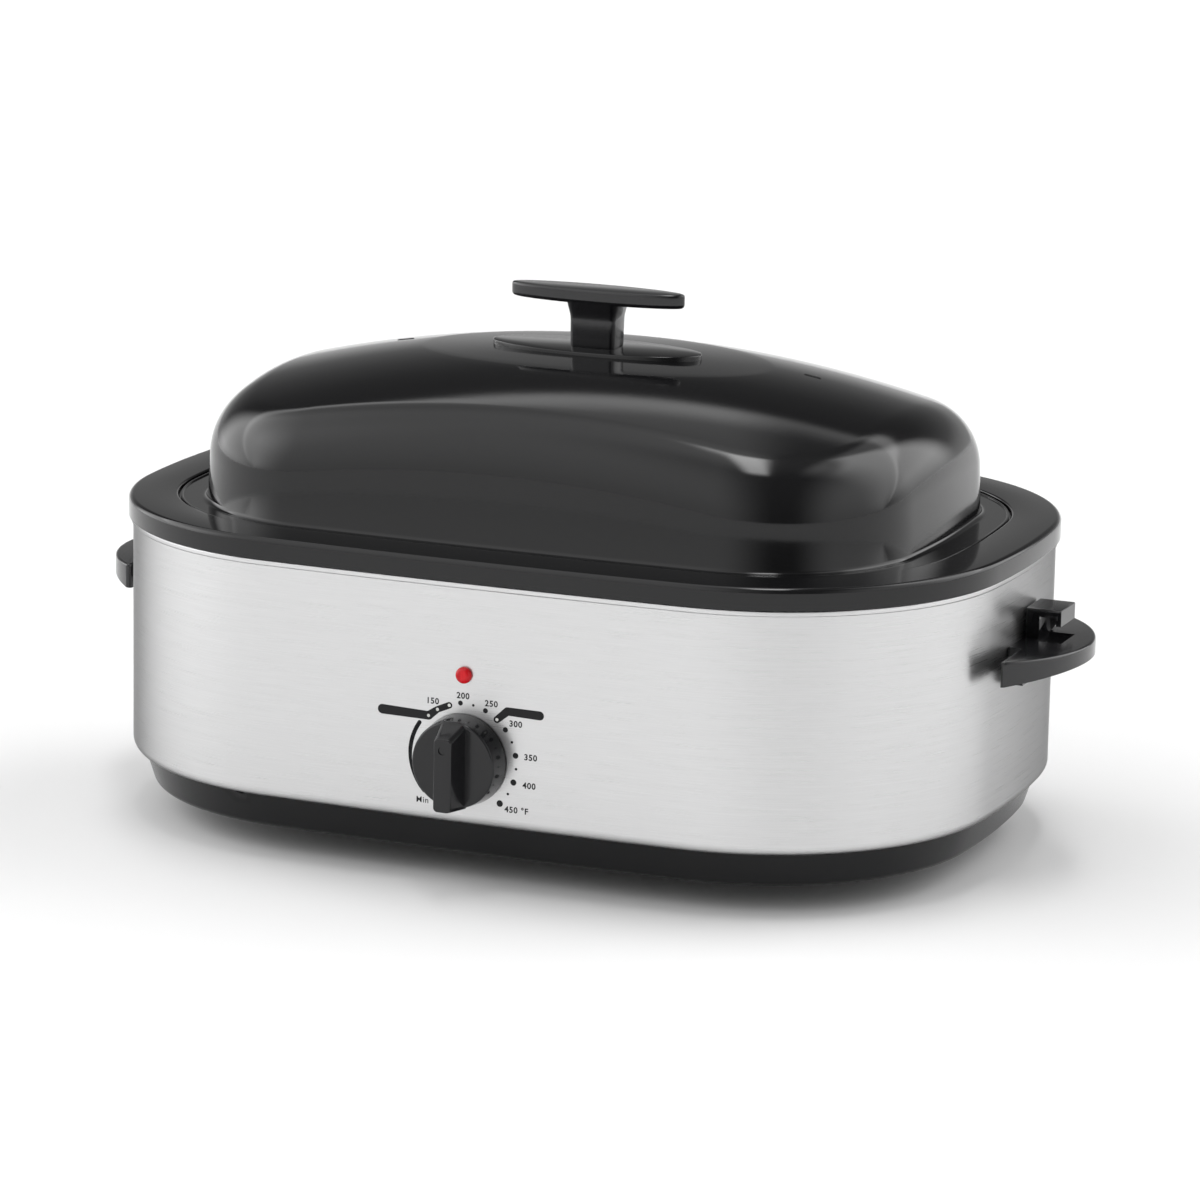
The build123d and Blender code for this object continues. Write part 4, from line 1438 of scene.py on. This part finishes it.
        # The opening is not cut: a thin near-black slab inside the lip is painted shade.
        inset, mouth_low, mouth_top = self.mouth
        bm = bmesh.new()
        vent.sweep(bm, millimetres(((inset, mouth_low), (inset, mouth_top))))
        close_ends(bm)
        bmesh.ops.transform(bm, matrix=place, verts=bm.verts)
        to_piece(f"vent_mouth_{name}", bm, SEAM_SHADOW, Body.LID)


@dataclass
class LidGrip:
    """The T-shaped grip on the lid.

    Attributes:
        pad_top: height of the pad that the stem stands on.
        top: height of the bar's top.
        length: length of the bar.
        width: width of the bar.
        thickness: thickness of the bar.
        top_round: radius of the bar's upper edge.
        low_round: radius of its lower edge.
        stem_size: half the length and half the depth of the stem's foot, and its corner radius.
        flares: how far the stem stands out from that at its waist, its neck and its head.
        seat_gap: how far above the pad the stem begins.
        waist_rise: how far above the pad its waist lies.
        neck_share: how far up the stem its neck lies.
        neck_round: radius of the bend there.
        head_lap: how far its head reaches into the bar.
    """

    pad_top: float = 271.7
    top: float = 305.0
    length: float = 105.0
    width: float = 25.0
    thickness: float = 8.2
    top_round: float = 1.6
    low_round: float = 2.4
    stem_size: tuple[float, float, float] = (13.5, 9.5, 3.0)
    flares: tuple[float, float, float] = (0.3, 0.6, 3.0)
    seat_gap: float = 0.05
    waist_rise: float = 1.5
    neck_share: float = 0.7
    neck_round: float = 18.0
    head_lap: float = 1.0

    def build(self) -> None:
        """Makes the bar and the stem."""
        low = self.top - self.thickness
        half_sizes = (self.length / 2, self.width / 2)
        bm, low_rim, top_rim = oval_slab(half_sizes, (low, self.top), segments=144)
        soften(bm, top_rim, self.top_round, segments=5)
        soften(bm, [e for e in low_rim if e.is_valid], self.low_round, segments=5)
        piece = to_piece("grip_bar", bm, GRIP_PHENOLIC, Body.LID)
        half_length, half_depth, corner = (size * MM for size in self.stem_size)
        stem = OvalPlan(
            half_length,
            half_depth,
            corner,
            BODY_MIDDLE,
            side_radius=0.09,
            end_radius=0.06,
            fineness=10,
        )
        waist, neck, head = self.flares
        foot = self.pad_top
        corners = millimetres(
            (
                (0.0, foot + self.seat_gap, 0.0),
                (-waist, foot + self.waist_rise, 0.0),
                (-neck, foot + (low - foot) * self.neck_share, self.neck_round),
                (-head, low + self.head_lap, 0.0),
            )
        )
        bm = bmesh.new()
        stem.sweep(bm, rounded(corners))
        close_ends(bm)
        stem_piece = to_piece("grip_stem", bm, GRIP_PHENOLIC, Body.LID)
        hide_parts("lid_handle")


class Ink(Enum):
    """The inks of the scale, each with the number of films that it lies on."""

    BLACK = (DIAL_INK, 1.0)
    WHITE = (WHITE_PLASTIC, 2.0)


@dataclass
class DialPrint:
    """The scale printed on the wall round the knob.

    Attributes:
        level: height of the knob's axis.
        ring: radius of the circle of dots.
        text_size: height of a figure's em square.
        proud: how far the ink stands on the steel.
        ink_share: how much of that the ink's own thickness is.
        join: points of a character closer than this become one.
        bold: how far the strokes of numbers are thickened.
        bold_word: the same for the word, whose strokes meet at sharper angles.
        spacing: how far apart the characters are set, where 1 is the typeface's own.
        majors: (angle, radius) of the dots at the figures.
        minors: angles of the small dots between them.
        minor_radius: radius of those.
        off_ring: radius of the circle that the off arc follows.
        off_span: the angle where that arc starts and the one that it turns back through.
        off_widths: width of its thin end and what it gains, and how soon it has gained it.
        bar_ring: radius of the circle that the left bar joins.
        warm_end: where the left bar begins.
        warm_widths: its width from there to its last dot.
        thaw_ends: the bend and the far end of the right bar.
        thaw_widths: its width from its dot to the far end.
        warm_dots: angles of the white dots on the left bar.
        thaw_dot: angle of the white dot on the right bar.
        white_radius: radius of the white dots.
        figures: (text, x, z) of what is written, from the knob's axis.
    """

    level: float = 72.5
    ring: float = 31.2
    text_size: float = 4.7
    proud: float = 0.03
    ink_share: float = 0.9
    join: float = 0.001
    bold: float = 0.13
    bold_word: float = 0.05
    spacing: float = 1.12
    majors: tuple[Pair, ...] = (
        (93.8, 1.40),
        (66.0, 1.45),
        (38.1, 1.50),
        (10.2, 1.65),
        (-17.8, 1.75),
        (-45.4, 1.85),
    )
    minors: tuple[float, ...] = (79.8, 24.1, -3.6, -31.6)
    minor_radius: float = 0.75
    off_ring: float = 31.6
    off_span: Pair = (222.0, 76.0)
    off_widths: tuple[float, float, float] = (0.5, 1.9, 1.6)
    bar_ring: float = 30.4
    warm_end: Pair = (-48.6, 22.6)
    warm_widths: tuple[float, ...] = (5.4, 4.8, 3.6, 3.6)
    thaw_ends: tuple[Pair, ...] = ((25.6, 29.6), (44.4, 29.2))
    thaw_widths: tuple[float, ...] = (3.9, 4.6, 5.0)
    warm_dots: tuple[float, ...] = (133.4, 121.0, 106.6)
    thaw_dot: float = 51.3
    white_radius: float = 0.9
    figures: tuple[tuple[str, float, float], ...] = (
        ("150", -18.6, 30.4),
        ("200", -0.6, 35.2),
        ("250", 16.1, 32.6),
        ("300", 30.5, 22.9),
        ("350", 39.5, 5.2),
        ("400", 38.9, -10.6),
        ("450 °F", 31.7, -25.1),
        ("Min", -24.0, -25.7),
    )

    def build(self) -> None:
        """Prints the scale."""
        for index, (angle, radius) in enumerate(self.majors):
            self._dot(f"dial_dot_{index}", self._on_ring(angle), radius)
        for index, angle in enumerate(self.minors):
            self._dot(f"dial_point_{index}", self._on_ring(angle), self.minor_radius)
        self._off_arc()
        self._setting_bars()
        for text, x, z in self.figures:
            self._figure(text, x, z)

    def _on_ring(self, angle: float, radius: float | None = None) -> Vector:
        """A point of the dial circle, from its own middle, in millimetres.

        Args:
            angle: its angle, anticlockwise from the right, in degrees.
            radius: its distance from the middle, or None on the circle of dots.

        Returns:
            The point.
        """
        turn = math.radians(angle)
        reach = self.ring if radius is None else radius
        return Vector((reach * math.cos(turn), reach * math.sin(turn)))

    def _wall(self, x: float) -> float:
        """Where the front wall's surface lies at a place along X, in metres."""
        bow = BODY_PLAN.side_radius
        return FRONT + bow - math.sqrt(bow**2 - x**2)

    def _print(self, name: str, bm: bmesh.types.BMesh, ink: Ink = Ink.BLACK) -> None:
        """Lays a flat drawing on the wall and gives it the thickness of ink.

        Args:
            name: the piece's name.
            bm: the drawing in the XY plane, in millimetres from the knob's axis.
            ink: the ink.
        """
        finish, films = ink.value
        proud = self.proud * films * MM
        bmesh.ops.triangulate(bm, faces=bm.faces)
        flat = [v.co.copy() for v in bm.verts]
        for vert, spot in zip(bm.verts, flat):
            x = spot.x * MM
            vert.co = Vector((x, self._wall(x) - proud, (self.level + spot.y) * MM))
        bm.normal_update()
        for face in bm.faces:
            if face.normal.y > 0:
                face.normal_flip()
        body = bmesh.ops.extrude_face_region(bm, geom=list(bm.faces))["geom"]
        back = [v for v in body if isinstance(v, bmesh.types.BMVert)]
        bmesh.ops.translate(bm, vec=(0.0, proud * self.ink_share, 0.0), verts=back)
        to_piece(name, bm, finish, Body.BASE, crease=20.0)

    def _dot(self, name: str, spot: Vector, radius: float, ink: Ink = Ink.BLACK) -> None:
        """Prints one round dot.

        Args:
            name: the dot's name.
            spot: its middle, from the knob's axis, in millimetres.
            radius: its radius.
            ink: its ink.
        """
        bm = bmesh.new()
        bmesh.ops.create_circle(bm, cap_ends=True, segments=28, radius=radius)
        bmesh.ops.translate(bm, vec=(spot.x, spot.y, 0.0), verts=bm.verts)
        self._print(name, bm, ink)

    def _ribbon(self, name: str, line: Sequence[Vector], widths: Sequence[float]) -> None:
        """Prints a band with round ends along a line.

        Args:
            name: the piece's name.
            line: the points of its middle line.
            widths: its width at each point.
        """
        bm = bmesh.new()
        for spot, width in zip(line, widths):
            made = bmesh.ops.create_circle(bm, cap_ends=True, segments=24, radius=width / 2)
            bmesh.ops.translate(bm, vec=(spot.x, spot.y, 0.0), verts=made["verts"])
        for (start, first), (end, last) in zip(
            zip(line, widths), zip(line[1:], widths[1:])
        ):
            side = Vector((start.y - end.y, end.x - start.x)).normalized()
            corners = (
                start + side * first / 2,
                start - side * first / 2,
                end - side * last / 2,
                end + side * last / 2,
            )
            bm.faces.new([bm.verts.new((c.x, c.y, 0.0)) for c in corners])
        self._print(name, bm)

    def _off_arc(self) -> None:
        """The swelling arc from the lowest setting up to the first bar."""
        steps = 26
        start, turn = self.off_span
        thin, gain, haste = self.off_widths
        line = [
            self._on_ring(start - turn * step / steps, self.off_ring) for step in range(steps + 1)
        ]
        widths = [thin + gain * min(1.0, step / steps * haste) for step in range(steps + 1)]
        self._ribbon("dial_off_arc", line, widths)

    def _setting_bars(self) -> None:
        """The two bars that join the low settings, with their white dots."""
        spots = [self._on_ring(angle, self.bar_ring) for angle in self.warm_dots]
        self._ribbon("dial_warm_bar", [Vector(self.warm_end), *spots], self.warm_widths)
        thaw = self._on_ring(self.thaw_dot)
        ends = [Vector(spot) for spot in self.thaw_ends]
        self._ribbon("dial_thaw_bar", [thaw, *ends], self.thaw_widths)
        for index, spot in enumerate(spots):
            self._dot(f"dial_warm_dot_{index}", spot, self.white_radius, Ink.WHITE)
        self._dot("dial_thaw_dot", thaw, self.white_radius, Ink.WHITE)

    def _figure(self, text: str, x: float, z: float) -> None:
        """Prints a number or a word with its middle at a place.

        Args:
            text: what is written.
            x: place along X from the knob's axis, in millimetres.
            z: place above the knob's axis, in millimetres.
        """
        name = "dial_figure_" + "".join(c for c in text if c.isalnum())
        curve = bpy.data.curves.new(name, type="FONT")
        curve.body = text
        curve.size = self.text_size
        curve.align_x = "CENTER"
        curve.align_y = "CENTER"
        curve.resolution_u = 4
        curve.offset = self.bold if text[0].isdigit() else self.bold_word
        curve.space_character = self.spacing
        carrier = bpy.data.objects.new(name + "_type", curve)
        bpy.context.scene.collection.objects.link(carrier)
        flat = bpy.data.meshes.new_from_object(carrier)
        bpy.data.objects.remove(carrier)
        bm = bmesh.new()
        bm.from_mesh(flat)
        bmesh.ops.remove_doubles(bm, verts=bm.verts, dist=self.join)
        bmesh.ops.translate(bm, vec=(x, z, 0.0), verts=bm.verts)
        self._print(name, bm)


@dataclass
class Innards:
    """Everything else: mouldings and metalwork shown as the CAD has them.

    Attributes:
        parts: each node with its finish, its body and the record's slot.
    """

    parts: tuple[tuple[str, Finish, Body, str], ...] = (
        ("right_handle", HANDLE_PHENOLIC, Body.BASE, "handle_plastic"),
        ("left_handle", HANDLE_PHENOLIC, Body.BASE, "handle_plastic"),
        ("lid_rest", HANDLE_PHENOLIC, Body.BASE, "handle_plastic"),
        ("control_knob", KNOB_PHENOLIC, Body.KNOB, "knob_plastic"),
        ("pilot_lens", LENS_RED, Body.BASE, "lens_plastic"),
        ("foot_screws", ZINC, Body.BASE, "zinc_steel"),
        ("liner_standoffs", ZINC, Body.BASE, "zinc_steel"),
        ("liner", ALUMINISED, Body.BASE, "aluminised_steel"),
        ("heating_element", BRAID, Body.BASE, "element_braid"),
        ("insulation", BLANKET, Body.BASE, "insulation_fibre"),
        ("thermostat", CONTROL_PLASTIC, Body.BASE, "control_plastic"),
        ("thermostat_shaft", BRASS, Body.KNOB, "brass"),
        ("thermostat_nut", BRASS, Body.BASE, "brass"),
        ("knob_clip", ZINC, Body.KNOB, "zinc_steel"),
        ("control_bracket", ALUMINISED, Body.BASE, "aluminised_steel"),
        ("bracket_screws", ZINC, Body.BASE, "zinc_steel"),
        ("pilot_lamp", WHITE_PLASTIC, Body.BASE, "lamp_plastic"),
        ("thermal_fuse", ZINC, Body.BASE, "zinc_steel"),
        ("terminal_block", WHITE_PLASTIC, Body.BASE, "lamp_plastic"),
        ("cord_gland", HANDLE_PHENOLIC, Body.BASE, "gland_plastic"),
        ("gland_nut", HANDLE_PHENOLIC, Body.BASE, "gland_plastic"),
        ("handle_screws", ZINC, Body.BASE, "zinc_steel"),
        ("lid_handle_screw", ZINC, Body.LID, "zinc_steel"),
        ("lid_handle_washer", ZINC, Body.LID, "zinc_steel"),
        ("roasting_rack", CHROME_WIRE, Body.RACK, "rack_chrome"),
        ("rack_loops", CHROME_WIRE, Body.RACK, "rack_chrome"),
    )

    def build(self) -> None:
        """Dresses each part."""
        for row in self.parts:
            copy_of(*row)


# ---- floor, light and camera ----------------------------------------------------------------
@dataclass(frozen=True)
class Panel:
    """A soft-edged bright panel in the surroundings.

    Attributes:
        bearings: round from the camera towards its right, in degrees, where the panel
            begins, is full, begins to fade and ends.
        elevations: above the horizon, the same way.
        strength: what it adds to the surroundings, where 1 is white.
    """

    bearings: Edges
    elevations: Edges
    strength: float


@dataclass
class Studio:
    """Pale floor, soft light and the camera.

    Attributes:
        target: the point that the camera looks at.
        azimuth: camera round the object, in degrees.
        elevation: camera above the horizon, in degrees.
        distance: from the target.
        roll: turn of the camera about its own axis, in degrees.
        focal_pixels: focal length in pixels of the frame.
        frame: width of the frame in pixels.
        principal: where the target lies in the frame.
        sensor: width of the camera's sensor.
        tent: brightness of the surroundings by their angle over the object, in degrees,
            from the horizon behind the camera over the top to the one behind the object.
        panels: what is brighter than that.
        front_gap: where the dark gap in the tent's front begins, is deepest, begins to
            close and ends, as a share of the way sideways.
        rear_gap: the same for the gap in its upper rear.
        gap_depths: how dark the two gaps are.
        turnover: where the front gap gives way to the rear one, as a share of the way ahead.
        upper: where the tent's upper part begins, as a share of the way up.
        lamp_sides: edges of the lamp overhead, sideways.
        lamp_ends: its edges from the rear to the front.
        lamp_strength: what it adds.
        floor_radius: how far the floor reaches.
        floor_colour: its colour.
    """

    target: tuple[float, float, float] = (0.0, 0.0095, 0.1655)
    azimuth: float = 22.257
    elevation: float = 12.185
    distance: float = 2.86796
    roll: float = 1.089
    focal_pixels: float = 5030.07
    frame: float = 1200.0
    principal: Pair = (593.47, 528.92)
    sensor: float = 36.0
    tent: tuple[Pair, ...] = (
        (0.0, 1.0),
        (25.0, 1.18),
        (43.0, 1.28),
        (60.0, 1.35),
        (90.0, 1.33),
        (112.0, 1.04),
        (126.0, 0.60),
        (134.0, 0.60),
        (137.5, 1.50),
        (139.5, 1.50),
        (141.5, 0.05),
        (152.0, 0.08),
        (160.0, 0.15),
        (168.0, 0.25),
        (174.0, 0.50),
        (180.0, 0.65),
    )
    panels: tuple[Panel, ...] = (
        Panel((-150.0, -130.0, -108.0, -62.0), (-8.0, 6.0, 25.0, 60.0), 2.4),
        Panel((70.0, 120.0, 134.0, 143.0), (-6.0, 14.0, 56.0, 64.0), 2.1),
    )
    front_gap: Edges = (-0.52, 0.16, 0.32, 0.80)
    rear_gap: Edges = (0.06, 0.14, 0.26, 0.36)
    gap_depths: Pair = (0.9, 0.8)
    turnover: Pair = (-0.15, 0.25)
    upper: Pair = (0.55, 0.70)
    lamp_sides: Edges = (-0.09, 0.0, 0.075, 0.125)
    lamp_ends: Edges = (-0.37, -0.28, 0.15, 0.30)
    lamp_strength: float = 6.5
    floor_radius: float = 14.0
    floor_colour: Colour = (0.88, 0.88, 0.88, 1.0)

    def build(self) -> None:
        """Makes floor, surroundings and camera."""
        self._floor()
        self._surroundings()
        self._camera()

    def _floor(self) -> None:
        """A wide pale floor."""
        bm = bmesh.new()
        bmesh.ops.create_circle(bm, cap_ends=True, segments=96, radius=self.floor_radius)
        mesh = bpy.data.meshes.new("floor")
        bm.to_mesh(mesh)
        bm.free()
        floor = bpy.data.objects.new("floor", mesh)
        bpy.context.scene.collection.objects.link(floor)
        mesh.materials.append(PaperFloor("pale_floor", self.floor_colour, 0.7).material())

    def _surroundings(self) -> None:
        """A tent, bright from the front up to overhead, with a dim back wall."""
        world = bpy.data.worlds.new("studio")
        bpy.context.scene.world = world
        world.use_nodes = True
        shop = NodeShop(world.node_tree)
        direction = shop.node("ShaderNodeTexCoord", output="Generated")
        height = shop.node("ShaderNodeSeparateXYZ", inputs={0: direction}, output="Z")
        ahead = shop.along(direction, self._direction(0.0))
        aside = shop.along(direction, self._direction(90.0))
        arch = shop.node("ShaderNodeMath", {"operation": "ARCTAN2"}, {0: height, 1: ahead})
        bearing = shop.node("ShaderNodeMath", {"operation": "ARCTAN2"}, {0: aside, 1: ahead})
        stops = tuple((angle / 180.0, grey(level)) for angle, level in self.tent)
        light = shop.node("ShaderNodeValToRGB", {"stops": stops}, {0: arch * (1.0 / math.pi)})
        front = shop.rise(ahead, *self.turnover)
        upper = shop.rise(height, *self.upper)
        front_dark = front * shop.window(aside, self.front_gap) * self.gap_depths[0]
        rear_dark = (1.0 - front) * upper * shop.window(aside, self.rear_gap) * self.gap_depths[1]
        light = light * (1.0 - front_dark - rear_dark)
        for panel in self.panels:
            sideways = shop.window(bearing, tuple(map(math.radians, panel.bearings)))
            heights = (math.sin(math.radians(angle)) for angle in panel.elevations)
            upright = shop.window(height, tuple(heights))
            light = light + sideways * upright * panel.strength
        lamp = shop.window(aside, self.lamp_sides) * shop.window(ahead, self.lamp_ends)
        light = light + lamp * upper * self.lamp_strength
        glow = shop.node("ShaderNodeBackground", inputs={"Color": grey(1.0), "Strength": light})
        shop.node("ShaderNodeOutputWorld", inputs={"Surface": glow})

    def _direction(self, bearing: float, elevation: float = 0.0) -> Vector:
        """A direction from the object.

        Args:
            bearing: 0 is towards the camera, 90 is to its right, in degrees.
            elevation: above the horizon, in degrees.

        Returns:
            The direction, of length 1.
        """
        turn, rise = math.radians(self.azimuth + bearing), math.radians(elevation)
        flat = math.cos(rise)
        return Vector((math.sin(turn) * flat, -math.cos(turn) * flat, math.sin(rise)))

    def _camera(self) -> None:
        """The camera, with its small roll and shift."""
        data = bpy.data.cameras.new("camera")
        data.sensor_width = self.sensor
        data.lens = self.sensor * self.focal_pixels / self.frame
        data.shift_x = (self.frame / 2 - self.principal[0]) / self.frame
        data.shift_y = (self.principal[1] - self.frame / 2) / self.frame
        data.clip_start, data.clip_end = 0.05, 60.0
        camera = bpy.data.objects.new("camera", data)
        bpy.context.scene.collection.objects.link(camera)
        back = self._direction(0.0, self.elevation)
        camera.location = Vector(self.target) + back * self.distance
        camera.rotation_mode = "QUATERNION"
        level = (-back).to_track_quat("-Z", "Y")
        camera.rotation_quaternion = level @ Quaternion((0, 0, 1), math.radians(self.roll))
        bpy.context.scene.camera = camera


def main() -> None:
    """Builds every sub-assembly."""
    logging.basicConfig(level=logging.INFO, format="%(name)s %(message)s")
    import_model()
    bpy.context.scene.view_settings.view_transform = "Standard"
    for assembly in (
        BodyShell(),
        RoastingPan(),
        DomedLid(),
        LidGrip(),
        DialPrint(),
        Innards(),
        Studio(),
    ):
        assembly.build()
        LOG.info("built %s", type(assembly).__name__)


if __name__ == "__main__":
    main()
